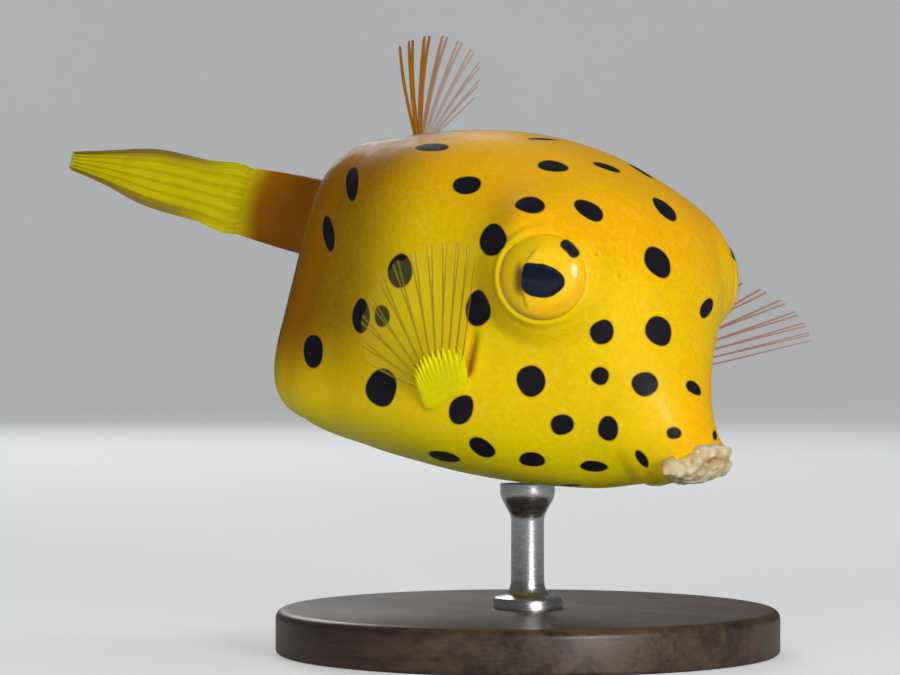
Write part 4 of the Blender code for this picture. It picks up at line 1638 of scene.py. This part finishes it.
@dataclass
class Skin:
    """One skin over the body, the tail stem and the pads of the breast fins."""

    pattern: SpotPattern
    sides: int = 720
    head_rings: int = 230
    body_rings: int = 200
    stem_rings: int = 108
    head_share: float = 0.45
    stem_start: float = 0.02
    stem_blend: float = 1.6
    stem_follow: float = 0.85  # how closely the stem's first ring follows the body's last
    touching: float = 0.01
    pad_skin: float = 0.02
    pad_fade: float = 1.1
    soft: float = 0.55  # how far from the join of pad and flank the skin is smoothed
    still: float = 0.02  # corners with a smaller share of the smoothing stay where they are
    rounds: int = 40
    pace: float = 0.6

    def body_grid(self) -> Array:
        """Rings over the body and on along the tail stem.

        Returns:
            An array of rings by sides by 3.
        """
        head = np.linspace(0, self.head_share, self.head_rings, endpoint=False)
        body = np.linspace(self.head_share, 1, self.body_rings, endpoint=False)
        carapace = BODY.even_ring(np.concatenate((head, body)), self.sides)
        turns = circle(self.sides)
        along = np.linspace(self.stem_start, TAIL.tip, self.stem_rings)
        blend = 1 - step_up(along, 0.0, self.stem_blend)[:, None, None]
        offset = (carapace[-1] - TAIL.rings(np.zeros(1), turns)[0])[None]
        return np.concatenate((carapace, TAIL.rings(along, turns) + offset * blend * self.stem_follow))

    def build(self, material: Material) -> None:
        """Make the skin and dress it.

        Args:
            material: its finish.
        """
        skin = mesh_object("skin", *closed_tube(self.body_grid()))
        fleshy = self.join(skin, [Pad(side).build() for side in Side])
        relief, notch = Relief(fish_points(skin), fish_normals(skin)), Notch()
        notch.press(relief)
        for side, seat in SEATS.items():
            Lid().press(relief, seat)
            GillSlit().press(relief, side, 1 - fleshy)
            Nostrils().press(relief, side)
        points = relief.points + relief.move
        set_fish_points(skin, points)
        spot = np.minimum(self.pattern.distance(points), off_beans(points))
        # painted shade: the creases' shade and the chin fold's shade
        crease = np.maximum(relief.crease, notch.dark(points))
        tones = Tones().values(points, relief.normals)
        set_values(skin, spot=spot, crease=crease, pad=fleshy, **tones)
        nodes = ("head", "torso", "tail_stem", "pectoral_pad_right", "pectoral_pad_left")
        dress(skin, material, nodes)

    def join(self, skin: Object, pads: list[Object]) -> Array:
        """Fuse the pads with the skin and soften the join.

        Args:
            skin: the body's skin, whose mesh is changed.
            pads: the closed pads, rooted in it, which are used up.

        Returns:
            How much each corner of the skin belongs to a pad.
        """
        body = self.surface_of(skin)
        lobes = [self.surface_of(pad) for pad in pads]
        for pad in pads:
            modifier = skin.modifiers.new("pad", "BOOLEAN")
            modifier.operation = "UNION"
            modifier.solver = "MANIFOLD"
            modifier.object = pad
        shaped = skin.evaluated_get(bpy.context.evaluated_depsgraph_get())
        mesh = bpy.data.meshes.new_from_object(shaped)
        skin.modifiers.clear()
        skin.data = mesh
        mesh.shade_smooth()
        for pad in pads:
            bpy.data.objects.remove(pad)
        points = fish_points(skin)
        fleshy = np.zeros(len(points))
        away = np.full(len(points), FAR)
        for side, lobe in zip(Side, lobes):
            middle = BreastFinPlan(side).edge(np.array((0.5,)))[0]
            near = np.flatnonzero(np.abs(points - middle).max(axis=1) < FAR)
            off_pad = np.array([lobe.find_nearest(Vector(points[i]))[3] for i in near])
            off_body = np.array([body.find_nearest(Vector(points[i]))[3] for i in near])
            seam = near[(off_pad < self.touching) & (off_body < self.touching)]
            tree = KDTree(len(seam))
            for count, i in enumerate(seam):
                tree.insert(Vector(points[i]), count)
            tree.balance()
            away[near] = [tree.find(Vector(points[i]))[2] for i in near]
            fleshy[near] = (off_pad < self.pad_skin) * step_up(away[near], 0.0, self.pad_fade)
        self.smooth(skin, hump(away, self.soft))
        LOG.info("skin with pads: %d corners", len(points))
        return fleshy

    def surface_of(self, obj: Object) -> BVHTree:
        """A search tree over a mesh in the fish frame."""
        faces = [tuple(face.vertices) for face in obj.data.polygons]
        return BVHTree.FromPolygons(fish_points(obj).tolist(), faces)

    def smooth(self, obj: Object, share: Array) -> None:
        """Draw corners towards the middle of their neighbours.

        Args:
            obj: the mesh.
            share: how far each corner may follow, 0 to 1.
        """
        points = fish_points(obj)
        ends = np.empty(len(obj.data.edges) * 2, np.int32)
        obj.data.edges.foreach_get("vertices", ends)
        ends = ends.reshape(-1, 2)
        moving = share > self.still
        ends = ends[moving[ends].any(axis=1)]
        for _ in range(self.rounds):
            total, count = np.zeros_like(points), np.zeros(len(points))
            for here, there in ((0, 1), (1, 0)):
                np.add.at(total, ends[:, here], points[ends[:, there]])
                np.add.at(count, ends[:, here], 1)
            free = (count > 0) & moving
            goal = total[free] / count[free, None]
            points[free] += self.pace * share[free, None] * (goal - points[free])
        set_fish_points(obj, points)


@dataclass(frozen=True)
class IrisTones:
    """Where the iris changes colour: millimetres from the eye's middle, and bearings in degrees."""

    wedge_turn: float = 187.0
    wedge: Span = (0.66, 0.97)
    wedge_end: Span = (1.05, 0.8)  # how far behind the pupil, and how softly
    edge_x: float = -1.38
    edge_bends: tuple[Span, Span] = ((1.16, 0.545), (1.7, 0.40))  # height and slant, above and below
    line_y: float = -0.27
    line_width: float = 0.13
    line_near: Span = (1.3, 1.5)
    line_far: Span = (2.2, 3.0)
    shade_reach: Span = (3.0, 3.7)
    shade_depth: Span = (1.9, 3.2)
    shade_x: Span = (-0.4, 2.0)
    soft: Triple = (0.22, 0.6, 1.5)  # least softness of the painted shade's edge, its growth and from where
    low_olive: float = 0.4
    low_reach: Span = (2.7, 3.5)
    low_depth: Span = (1.0, 2.6)
    ring: Triple = (1.1, 0.4, 0.9)  # distance outside the pupil, width and share
    ring_turn: float = -35.0
    ring_span: Span = (0.0, 0.8)
    top: float = 0.6
    top_away: Span = (1.0, 1.9)
    top_up: Span = (0.4, 1.6)
    brown: Triple = (0.95, 0.5, 0.35)  # shares of painted shade in the wedge, the lines and the shade

    def values(self, ahead: Array, up: Array, bearing: Array, away: Array) -> dict[str, Array]:
        """The share of each tone: painted shade as a dark wedge behind the pupil, in the iris's folds and low
        down; olive, painted shade behind; amber ahead and above.

        Args:
            ahead: how far forward of the eye's middle.
            up: how far above it.
            bearing: the direction from the pupil's middle.
            away: how far outside the pupil.

        Returns:
            The shares by name, and the distance outside the pupil.
        """
        reach, level = np.hypot(ahead, up), np.abs(up - self.line_y)
        # painted shadow: a dark wedge behind the pupil
        wedge = step_up(np.cos(bearing - math.radians(self.wedge_turn)), *self.wedge)
        wedge = wedge * step_up(self.wedge_end[0] - away, 0.0, self.wedge_end[1])
        (high, above), (low, below) = self.edge_bends
        edge = ahead - self.edge_x - above * np.clip(up - high, 0, None) - below * np.clip(-low - up, 0, None)
        # painted shade in the iris's folds above and below the pupil
        lines = hump(edge, self.line_width) * step_up(level, *self.line_near)
        lines = lines * (1 - step_up(level, *self.line_far))
        shade = step_up(reach, *self.shade_reach) * step_up(-up, *self.shade_depth)
        shade = shade * hump(ahead - self.shade_x[0], self.shade_x[1])
        least, growth, start = self.soft
        softness = least + growth * np.clip(np.abs(up) - start, 0, None)
        # painted shade low on the iris
        low = self.low_olive * step_up(reach, *self.low_reach) * step_up(-up, *self.low_depth)
        off, width, share = self.ring
        amber = share * hump(away - off, width)
        amber = amber * step_up(np.cos(bearing - math.radians(self.ring_turn)), *self.ring_span)
        # brown: painted shade from the wedge, the folds and the low shade
        brown = sum(share * tone for share, tone in zip(self.brown, (wedge, lines, shade)))
        return {
            "pupil": away,
            "olive": np.maximum(1 - step_up(edge / softness, -1.0, 1.0), low),
            "amber": amber + self.top * step_up(away, *self.top_away) * step_up(up, *self.top_up),
            "brown": np.clip(brown, 0, 1),
        }


@dataclass
class Eye:
    """An eyeball: the iris dome with its pupil, and the clear cornea over it."""

    side: Side
    radius: float = 3.8
    dome: float = 1.42
    depth: float = 2.2
    rings: int = 120
    crowding: float = 0.9
    back_rings: int = 24
    sides: int = 240
    ridge: Triple = (0.12, 0.16, 0.012)  # how far outside the pupil, width and height
    pit: Span = (0.4, 0.04)  # how far in from the pupil's edge it is deepest, and how deep
    window: float = 1.85
    window_inset: float = 0.04
    window_thick: float = 0.06
    window_span: tuple[float, float, int] = (0.01, 0.985, 70)
    window_rim: Span = (3.55, 0.07)
    pupil_middle: Span = (0.1, -0.27)
    pupil: Table = (
        (-39.0, 1.75), (8.0, 2.02), (32.0, 1.68), (58.0, 1.40), (90.0, 1.34),
        (115.0, 1.46), (130.0, 1.70), (142.0, 1.97), (156.0, 1.86), (174.0, 1.75),
        (217.0, 1.82), (267.0, 1.55), (321.0, 1.75), (368.0, 2.02),
    )

    def off_pupil(self, ahead: Array, up: Array) -> tuple[Array, Array]:
        """Where places on the iris lie from the pupil.

        Args:
            ahead: how far forward of the eye's middle.
            up: how far above it.

        Returns:
            The bearing from the pupil's middle, and how far outside the pupil.
        """
        ahead, up = ahead - self.pupil_middle[0], up - self.pupil_middle[1]
        bearing = np.arctan2(up, ahead)
        degrees = np.degrees(bearing)
        degrees = np.where(degrees < self.pupil[0][0], degrees + 360.0, degrees)
        outline = read(self.pupil, degrees.ravel())[:, 0].reshape(degrees.shape)
        return bearing, np.hypot(ahead, up) - outline

    def shell(self, name: str, rings: Array) -> tuple[Object, Array]:
        """A closed body through rings about the eye's seat.

        Args:
            name: the first word of the piece's name.
            rings: rings by sides by 3.

        Returns:
            The body, and its corners as forward, up and outward of the seat.
        """
        seat = SEATS[self.side]
        rings = seat.placed(rings.reshape(-1, 3)).reshape(rings.shape)
        body = mesh_object(f"{name}_{self.side.word}", *closed_tube(rings))
        return body, seat.local(fish_points(body))

    def ball(self, material: Material) -> None:
        """The opaque eyeball.

        Args:
            material: its finish.
        """
        share = np.linspace(0.003, 1, self.rings) ** self.crowding
        turn = circle(self.sides)
        reach = (share * self.radius)[:, None] * np.ones_like(turn)[None, :]
        ahead, up = reach * np.cos(turn), reach * np.sin(turn)
        _, away = self.off_pupil(ahead, up)
        height = self.dome * np.sqrt(np.clip(1 - (reach / self.radius) ** 2, 0, 1))
        height += self.ridge[2] * hump(away - self.ridge[0], self.ridge[1])
        height -= self.pit[1] * step_up(-away, 0.0, self.pit[0])
        back = []
        for t in np.linspace(0, math.pi / 2, self.back_rings)[1:]:
            low = np.full(self.sides, -self.depth * math.sin(t))
            back.append(np.stack((ahead[-1] * math.cos(t), up[-1] * math.cos(t), low), -1))
        back[-1] = back[-2] * (0.05, 0.05, 1.0)
        rings = np.concatenate((np.stack((ahead, up, height), -1), np.array(back)))
        eye, place = self.shell("iris", rings)
        ahead, up = place[:, 0], place[:, 1]
        tones = IrisTones().values(ahead, up, *self.off_pupil(ahead, up))
        set_values(eye, **tones, spot=off_beans(fish_points(eye)))
        dress(eye, material, (f"eye_{self.side.word}",))

    def cornea(self, material: Material) -> None:
        """The clear window, a thin closed shell.

        Args:
            material: its finish.
        """
        profile = []
        shares = np.linspace(*self.window_span)
        for inset, order in ((0.0, shares), (self.window_thick, shares[::-1])):
            radius, height = self.radius - self.window_inset - inset, self.window - inset
            profile += [(share * radius, height * math.sqrt(1 - share**2)) for share in order]
        cornea, place = self.shell("cornea", turned_rings(profile, self.sides))
        reach = np.hypot(place[:, 0], place[:, 1])
        low_rear = step_up(-(place[:, 0] + 0.6 * place[:, 1]) / (reach + 0.1), 0.35, 0.9)
        radius, width = self.window_rim
        set_values(cornea, rim=hump(reach - radius, width) * low_rear)
        dress(cornea, material)


@dataclass
class Lips:
    """Two thick lumpy lips round a narrow mouth."""

    upper: float = 2.8
    lower: float = 2.05
    width: float = 4.6
    depth: float = 1.55
    taper: float = 0.28  # how much narrower the lower lip is at its lowest
    lower_depth: float = 0.75  # how far the lower lip comes forward, as a share of the upper
    roll: float = 0.22
    notch: Triple = (145.0, 17.0, 0.34)  # turn, width and depth of the yellow notches
    clumps: int = 130
    clump_size: Span = (0.28, 0.75)
    clump_rise: Span = (0.1, 0.8)
    clump_height: float = 0.34
    mouth: Span = (20.0, -10.95)
    slope: float = 31.0
    curve: float = 0.75
    swell: float = 2.2
    notch_end: Span = (0.25, 0.7)
    lower_turn: Span = (-0.5, 0.1)
    lower_end: Span = (0.55, 1.0)
    taper_turn: Span = (0.0, 0.8)
    lump_start: Span = (-0.2, 0.3)
    front: Span = (0.5, 1.2)
    groove_end: Span = (0.8, 2.0)
    under: Triple = (1.7, 2.6, 0.55)  # where the painted shade on the underside starts, is full, and its share
    inside: Span = (1.2, 0.2)  # shares of painted shade in the open part and the groove
    sag: float = 0.30  # how far the mouth rises towards its corners
    groove: Span = (0.22, 0.18)  # depth and width
    gape: Span = (0.40, 0.28)
    gape_y: Span = (-0.6, 0.55)  # middle and width of the open part
    rings: int = 140
    sides: int = 400
    collar: float = 0.94
    sunk: float = 0.5
    seed: int = 5

    def __post_init__(self) -> None:
        """Find the middle of the snout's end, and its upward and forward directions."""
        _, top_x, top_z, low_x, low_z, _ = BODY.sections[0]
        self.upward = unit(np.array((top_x - low_x, 0, top_z - low_z)))
        self.forward = np.array((self.upward[2], 0, -self.upward[0]))
        self.middle = np.array(((top_x + low_x) / 2, 0, (top_z + low_z) / 2))

    def sheet(self) -> Array:
        """Rings over the smooth lips, from a collar inside the snout to the front.

        Returns:
            An array of rings by sides by 3.
        """
        q = np.linspace(0, 0.995, self.rings)[:, None]
        turn = circle(self.sides)[None, :]
        swell = 1 + self.roll / self.width * np.sin(math.pi * np.minimum(1.0, self.swell * q))
        at, spread, cut = self.notch
        notches = hump(np.degrees(turn) - at, spread) + hump(np.degrees(turn) - (180 - at), spread)
        notches = 1 - cut * notches * (1 - step_up(q, *self.notch_end))
        flat = np.cos(q * math.pi / 2) ** self.curve * swell * notches
        height = np.where(np.sin(turn) > 0, self.upper, self.lower) * np.sin(turn) * flat
        forth = self.lower_depth + (1 - self.lower_depth) * step_up(np.sin(turn), *self.lower_turn)
        forth = forth + (1 - forth) * step_up(q, *self.lower_end)
        ahead = self.depth * np.sin(q * math.pi / 2) * forth
        sheet = self.middle + self.forward * ahead[..., None] + self.upward * height[..., None]
        narrower = 1 - self.taper * step_up(-np.sin(turn), *self.taper_turn)
        sheet[..., 1] += self.width * np.cos(turn) * flat * narrower
        collar = self.middle + (sheet[0] - self.middle) * self.collar - self.forward * self.sunk
        return np.concatenate((collar[None], sheet))

    def build(self, material: Material) -> None:
        """Make the lips.

        Args:
            material: their finish.
        """
        lips = mesh_object("lips", *closed_tube(self.sheet()))
        points, normals = fish_points(lips), fish_normals(lips)
        ahead = (points - self.middle) @ self.forward
        bulge, pale = self.lumps(points)
        points = points + normals * (bulge * step_up(ahead, *self.lump_start))[:, None]
        slope = math.radians(self.slope)
        square = np.array((math.sin(slope), 0, math.cos(slope)))
        line = np.array((self.mouth[0], 0, self.mouth[1]))
        off = (points - line) @ square + self.sag * (points[:, 1] / 2) ** 2
        front = step_up(ahead, *self.front)
        sides = 1 - step_up(np.abs(points[:, 1]), *self.groove_end)
        groove = hump(off, self.groove[1]) * front * sides
        gape = hump(points[:, 1] - self.gape_y[0], self.gape_y[1]) * hump(off, self.gape[1]) * front
        points = points - normals * (self.groove[0] * groove + self.gape[0] * gape)[:, None]
        set_fish_points(lips, points)
        start, full, share = self.under
        under = step_up(-(points - self.middle) @ self.upward, start, full) * share
        inside = np.clip(self.inside[0] * gape + self.inside[1] * groove, 0, 1)
        set_values(lips, pale=pale, under=under, inside=inside)
        dress(lips, material, ("lip_upper", "lip_lower"))

    def lumps(self, points: Array) -> tuple[Array, Array]:
        """Clumps of flesh scattered over the lips.

        Args:
            points: corners of the smooth lips.

        Returns:
            How far each corner rises, and how pale it is.
        """
        draw = np.random.default_rng(self.seed)
        rise, pale = np.zeros(len(points)), np.zeros(len(points))
        for seed in points[draw.integers(0, len(points), self.clumps)]:
            away = np.linalg.norm(points - seed, axis=1)
            dome = hump(away, 0.7 * draw.uniform(*self.clump_size))
            left = 1 - rise / self.clump_height
            rise += left * dome * draw.uniform(*self.clump_rise) * self.clump_height
            pale = np.maximum(pale, draw.uniform(0.0, 1.0) * step_up(dome, 0.1, 0.9))
        return rise, pale


@dataclass
class RayedFin:
    """A fan of branched rays in a thin membrane."""

    name: str
    rays: int
    node: str
    steps: int = 22
    rows: int = 110
    ray_thick: Span = (0.34, 0.12)
    web_thick: Span = (0.08, 0.05)
    ray_half: Span = (0.14, 0.04)
    spread: float = 0.14
    branch: float = 0.25
    line_share: float = 0.8
    scallop: float = 0.035
    strength: Table = ((0.0, 1.0), (0.5, 1.0), (1.0, 1.0))
    root: float = 0.14  # how far the root's darker tone, partly painted shade, reaches along the fin

    def masks(self, across: Array, along: Array) -> tuple[Array, Array]:
        """Where the rays run.

        Args:
            across: the columns of the fin, 0 to 1.
            along: its rows, 0 at the root.

        Returns:
            How much each point belongs to a ray, and to the dark line along a ray's side.
        """
        position = across[None, :] * (self.rays - 1)
        off = position - np.round(position)
        fork = self.spread * step_up(along, self.branch, 1.0)[:, None]
        half = (self.ray_half[1] + (self.ray_half[0] - self.ray_half[1]) * (1 - along) ** 1.5)[:, None]
        distance = np.abs(np.abs(off) - fork)
        ray = 1 - step_up(distance, half * 0.5, half)
        line = hump(distance - half * 0.8, 0.35 * half)
        strength = read(self.strength, across)[:, 0][None, :]
        return ray * strength, line * self.line_share * strength

    def sheet(self, across: Array, along: Array) -> Array:
        """The middle of the fin, rows by columns by 3."""
        raise NotImplementedError

    def outer(self, across: Array, along: Array) -> Array:
        """How much of the darker, thinner border each point of the fin has."""
        return np.zeros((len(along), len(across)))

    def build(self, material: Material) -> None:
        """Make the fin.

        Args:
            material: its finish.
        """
        across = np.linspace(0, 1, (self.rays - 1) * self.steps + 1)
        along = np.linspace(0, 1, self.rows)
        ray, line = self.masks(across, along)
        scallop = 1 - self.scallop * (1 - np.cos(math.tau * across * (self.rays - 1))) / 2
        sheet = self.sheet(across, along[:, None] * scallop[None, :])
        thick_ray, thick_web = (
            (start + (end - start) * along)[:, None] for start, end in (self.ray_thick, self.web_thick)
        )
        thickness = thick_web + (thick_ray - thick_web) * ray
        fin = mesh_object(self.name, *vane_arrays(sheet, thickness))
        # the root's darker tone, partly painted shade
        root = (1 - step_up(along, 0.0, self.root))[:, None] * np.ones_like(across)[None, :]
        tones = {"ray": ray, "line": line, "outer": self.outer(across, along), "root": root}
        set_values(fin, **{name: np.tile(tone.ravel(), 2) for name, tone in tones.items()})
        dress(fin, material, (self.node,))


@dataclass
class BreastFin(RayedFin):
    """A breast fin beyond its pad."""

    side: Side = Side.RIGHT
    rooted: float = 0.06  # how far the rays reach back into the pad

    def sheet(self, across: Array, along: Array) -> Array:
        """The fan, from inside the pad's edge to the tips.

        Args:
            across: the columns, 0 to 1.
            along: the share of each ray's length, rows by columns.

        Returns:
            Rows by columns by 3.
        """
        plan = BreastFinPlan(self.side)
        edge, ray = plan.edge(across), plan.ray(across)
        start = edge - self.rooted * ray
        return start[None] + ray[None] * (along * (1 + self.rooted))[..., None]


@dataclass
class MidlineFin(RayedFin):
    """The fin on the back or the one under the tail."""

    base: Span = (0.868, 0.905)
    length: Table = ((0.0, 5.4), (0.25, 8.4), (0.6, 9.6), (1.0, 9.4))
    lean: Table = ((0.0, 46.0), (0.3, 27.0), (0.6, 4.0), (0.85, -18.0), (1.0, -28.0))
    sway: float = 1.2
    upward: int = 1
    sunk: float = 0.8

    def sheet(self, across: Array, along: Array) -> Array:
        """The fan, from under the skin to the tips.

        Args:
            across: the columns, 0 to 1.
            along: the share of each ray's length, rows by columns.

        Returns:
            Rows by columns by 3.
        """
        place = self.base[0] + (self.base[1] - self.base[0]) * across
        foot = BODY.surface(place, math.copysign(math.pi / 2, self.upward))
        lean = np.radians(read(self.lean, across)[:, 0])
        direction = np.stack((np.sin(lean), np.zeros_like(lean), np.cos(lean)), -1) * self.upward
        length = read(self.length, across)[:, 0]
        reach = -self.sunk + (length[None, :] + self.sunk) * along
        sheet = foot[None] + direction[None] * reach[..., None]
        sheet[..., 1] += self.sway * np.clip(reach / length.max(), 0, 1) ** 2
        return sheet


@dataclass
class TailFin(RayedFin):
    """The tail fin, folded like a brush."""

    reach: float = 17.5
    rooted: float = 1.0
    top: Table = ((0.0, 2.5), (0.06, 3.15), (0.3, 3.1), (0.6, 2.9), (0.8, 1.9), (1.0, 0.9))
    low: Table = ((0.0, -2.5), (0.06, -3.15), (0.3, -2.9), (0.6, -2.5), (0.8, -1.5), (1.0, -0.8))
    fold: float = 0.12

    def outer(self, across: Array, along: Array) -> Array:
        """The fin's upper and lower fifths are darker and let light through."""
        return step_up(np.abs(2 * across - 1), 0.55, 0.95)[None, :] * step_up(along, 0.15, 0.5)[:, None]

    def sheet(self, across: Array, along: Array) -> Array:
        """The pleated fan, from inside the stem's end to the tips.

        Args:
            across: the columns, 0 to 1.
            along: the share of each ray's length, rows by columns.

        Returns:
            Rows by columns by 3.
        """
        rows = along.max(axis=1)
        middle, heading = TAIL.path(TAIL.length - self.rooted + rows * (self.reach + self.rooted))
        side = unit(np.cross((0, 0, 1), heading))
        upward = np.cross(heading, side)
        share = np.clip(rows, 0, 1)
        top, low = read(self.top, share), read(self.low, share)
        height = top + (low - top) * across[None, :]
        pleats = np.cos(math.tau * across * (self.rays - 1) / 2)[None, :]
        pleat = self.fold * pleats * step_up(share, 0.0, 0.2)[:, None]
        short = (along - rows[:, None]) * self.reach
        sheet = middle[:, None, :]
        for way, amount in ((upward, height), (side, pleat), (heading, short)):
            sheet = sheet + way[:, None, :] * amount[..., None]
        return sheet


def fins() -> tuple[tuple[RayedFin, FinFinish], ...]:
    """The fins.

    Returns:
        Each fin with its finish.
    """
    near = BreastFin("breast_fan_right", 12, "pectoral_fin_right", side=Side.RIGHT)
    far = BreastFin(
        "breast_fan_left", 11, "pectoral_fin_left", side=Side.LEFT,
        ray_half=(0.16, 0.05), strength=((0.0, 0.6), (0.7, 0.7), (1.0, 1.0)),
    )
    back = MidlineFin(
        "back_fan", 9, "dorsal_fin", ray_half=(0.58, 0.075), branch=0.4,
        strength=((0.0, 0.4), (0.6, 0.5), (0.85, 1.0), (1.0, 1.0)),
    )
    belly = MidlineFin(
        "belly_fan", 9, "anal_fin", ray_half=(0.3, 0.12), base=(0.930, 0.967), sway=5.0, upward=-1,
        length=((0.0, 4.0), (0.4, 6.4), (1.0, 6.6)), lean=((0.0, 56.0), (0.5, 72.0), (1.0, 88.0)),
    )
    tail = TailFin("tail_brush", 13, "caudal_fin")
    return (
        (near, FinFinish("breast_fin", (0.32, 0.23, 0.0), (0.18, 0.12, 0.0), (0.70, 0.60, 0.10), 0.04, 0.48)),
        (far, FinFinish("far_fin", (0.46, 0.12, 0.0), (0.28, 0.06, 0.0), (0.50, 0.20, 0.02), 0.03, 0.95)),
        (back, FinFinish("upright_fin", (0.46, 0.17, 0.0), (0.34, 0.11, 0.0), (0.44, 0.17, 0.0), 0.01, 1.0)),
        (belly, FinFinish("low_fin", (0.55, 0.42, 0.0), (0.40, 0.28, 0.0), (0.62, 0.50, 0.0), 0.7, 1.0)),
        (tail, FinFinish("tail_fin", (0.60, 0.54, 0.0), (0.44, 0.39, 0.0), (0.54, 0.48, 0.0), 0.95, 1.0)),
    )


@dataclass
class Stand:
    """A round wooden base with a steel rod up to the belly."""

    base_radius: float = 23.0
    base_thick: float = 4.0
    bevel: float = 0.8
    rod_radius: float = 1.5
    flare: float = 2.5
    flare_height: float = 3.0
    flare_rise: float = 2.6
    foot: float = 3.2
    foot_profile: tuple[Span, ...] = ((0.0, 0.0), (0.0, 0.75), (0.12, 0.95), (0.4, 1.05))  # in and up
    neck: Triple = (0.7, 3.5, 1.6)  # extra radius, how fast it narrows, height
    belly: float = 15.0
    pressed: float = 0.35  # how far the rod's end goes into the belly
    sides: int = 192
    crisp: float = 35.0

    def turned(self, name: str, profile: list[Span]) -> Object:
        """An upright turned body.

        Args:
            name: the piece's name.
            profile: radius and height, from the bottom up.

        Returns:
            The piece.
        """
        obj = mesh_object(name, *closed_tube(turned_rings(profile, self.sides)), posed=False)
        obj.data.set_sharp_from_angle(angle=math.radians(self.crisp))
        return obj

    def build(self, wood: Material, steel: Material) -> None:
        """Make the base and the rod.

        Args:
            wood: the base's finish.
            steel: the rod's finish.
        """
        arc = np.radians(np.linspace(0, 90, 9))
        low, high = self.bevel / 2, self.bevel
        side, edge = self.base_radius - high, self.base_thick - high
        profile = [(self.base_radius - low + low * math.sin(t), low - low * math.cos(t)) for t in arc]
        profile += [(side + high * math.cos(t), edge + high * math.sin(t)) for t in arc]
        dress(self.turned("base_disc", profile), wood, ("stand_base",))
        bottom = self.base_thick
        profile = [(self.foot - inward, bottom + up) for inward, up in self.foot_profile]
        above = bottom + self.foot_profile[-1][1]
        extra, pace, height = self.neck
        for t in np.linspace(0.1, 1, 10):
            profile.append((self.rod_radius + extra * math.exp(-pace * t), above + height * t))
        for t in np.linspace(0, 1, 14):
            radius = self.rod_radius + (self.flare - self.rod_radius) * float(step_up(np.array(t), 0, 1))
            profile.append((radius, self.belly - self.flare_height + self.flare_rise * t))
        profile.append((self.flare, self.belly + self.pressed))
        dress(self.turned("belly_rod", profile), steel, ("stand_rod",))


@dataclass(frozen=True)
class Lamp:
    """One soft round light that points at the fish."""

    name: str
    azimuth: float  # its bearing, as a view's
    height: float  # degrees above the level
    distance: float
    size: float
    power: float
    color: Color
    mirrored: bool  # whether glossy surfaces show it
    aim: Triple = (0, 0, 0.03)

    def build(self) -> None:
        """Hang the light."""
        data = bpy.data.lights.new(self.name, "AREA")
        data.shape = "DISK"
        data.size, data.energy, data.color = self.size, self.power, self.color
        a, e = math.radians(self.azimuth), math.radians(self.height)
        back = Vector((math.sin(a) * math.cos(e), -math.cos(a) * math.cos(e), math.sin(e)))
        lamp = new_object(self.name, data)
        lamp.location = Vector(self.aim) + back * self.distance
        lamp.rotation_euler = back.to_track_quat("Z", "Y").to_euler()
        lamp.visible_glossy = self.mirrored


@dataclass
class Studio:
    """A pale curved floor and soft lights."""

    flat: float = 0.85
    curve: float = 0.5
    middle: Span = (0.002, 0.3)
    sides: int = 160
    sky: Color = (0.95, 0.97, 1.0)
    sky_strength: float = 0.10
    lamps: tuple[Lamp, ...] = (
        Lamp("key", 67.0, 9.0, 0.40, 0.13, 0.97, (1.0, 0.98, 0.96), True),
        Lamp("fill", 15.0, 13.0, 0.6, 0.4, 1.2, (0.97, 0.98, 1.0), False),
        Lamp("top", 150.0, 55.0, 0.7, 0.5, 1.0, (1.0, 1.0, 1.0), False),
        Lamp("back", 235.0, 30.0, 0.75, 0.4, 1.4, (1.0, 1.0, 1.0), True),
    )

    def build(self, material: Material) -> None:
        """Set up the floor, the lights and the sky.

        Args:
            material: the floor's finish.
        """
        profile = [(radius, 0.0) for radius in (*self.middle, self.flat)]
        for t in np.radians(np.linspace(6, 84, 14)):
            profile.append((self.flat + self.curve * math.sin(t), self.curve * (1 - math.cos(t))))
        points = turned_rings(profile, self.sides).reshape(-1, 3) / MM
        faces = tube_faces(len(profile), self.sides)
        floor = mesh_object("floor", points, faces, posed=False, closed=False)
        floor.data.materials.append(material)
        world = bpy.data.worlds.new("sky")
        world.use_nodes = True
        background = world.node_tree.nodes["Background"]
        background.inputs["Color"].default_value = (*self.sky, 1.0)
        background.inputs["Strength"].default_value = self.sky_strength
        bpy.context.scene.world = world
        for lamp in self.lamps:
            lamp.build()


def main() -> None:
    """Build every piece in order."""
    effects = Effects()
    view = Viewpoint()
    view.build()
    pattern = SpotPattern()
    pattern.lay_out(view)
    LOG.info("%d spots", len(pattern.spots))
    Skin(pattern).build(SkinFinish().material(effects))
    eye, cornea = EyeFinish().material(effects), CorneaFinish().material(effects)
    for side in Side:
        Eye(side).ball(eye)
        Eye(side).cornea(cornea)
    Lips().build(LipFinish().material(effects))
    for fin, finish in fins():
        fin.build(finish.material(effects))
    Stand().build(WoodFinish().material(effects), SteelFinish().material(effects))
    Studio().build(PaperFinish().material(effects))
    bpy.context.scene.view_settings.view_transform = "Standard"


if __name__ == "__main__":
    main()
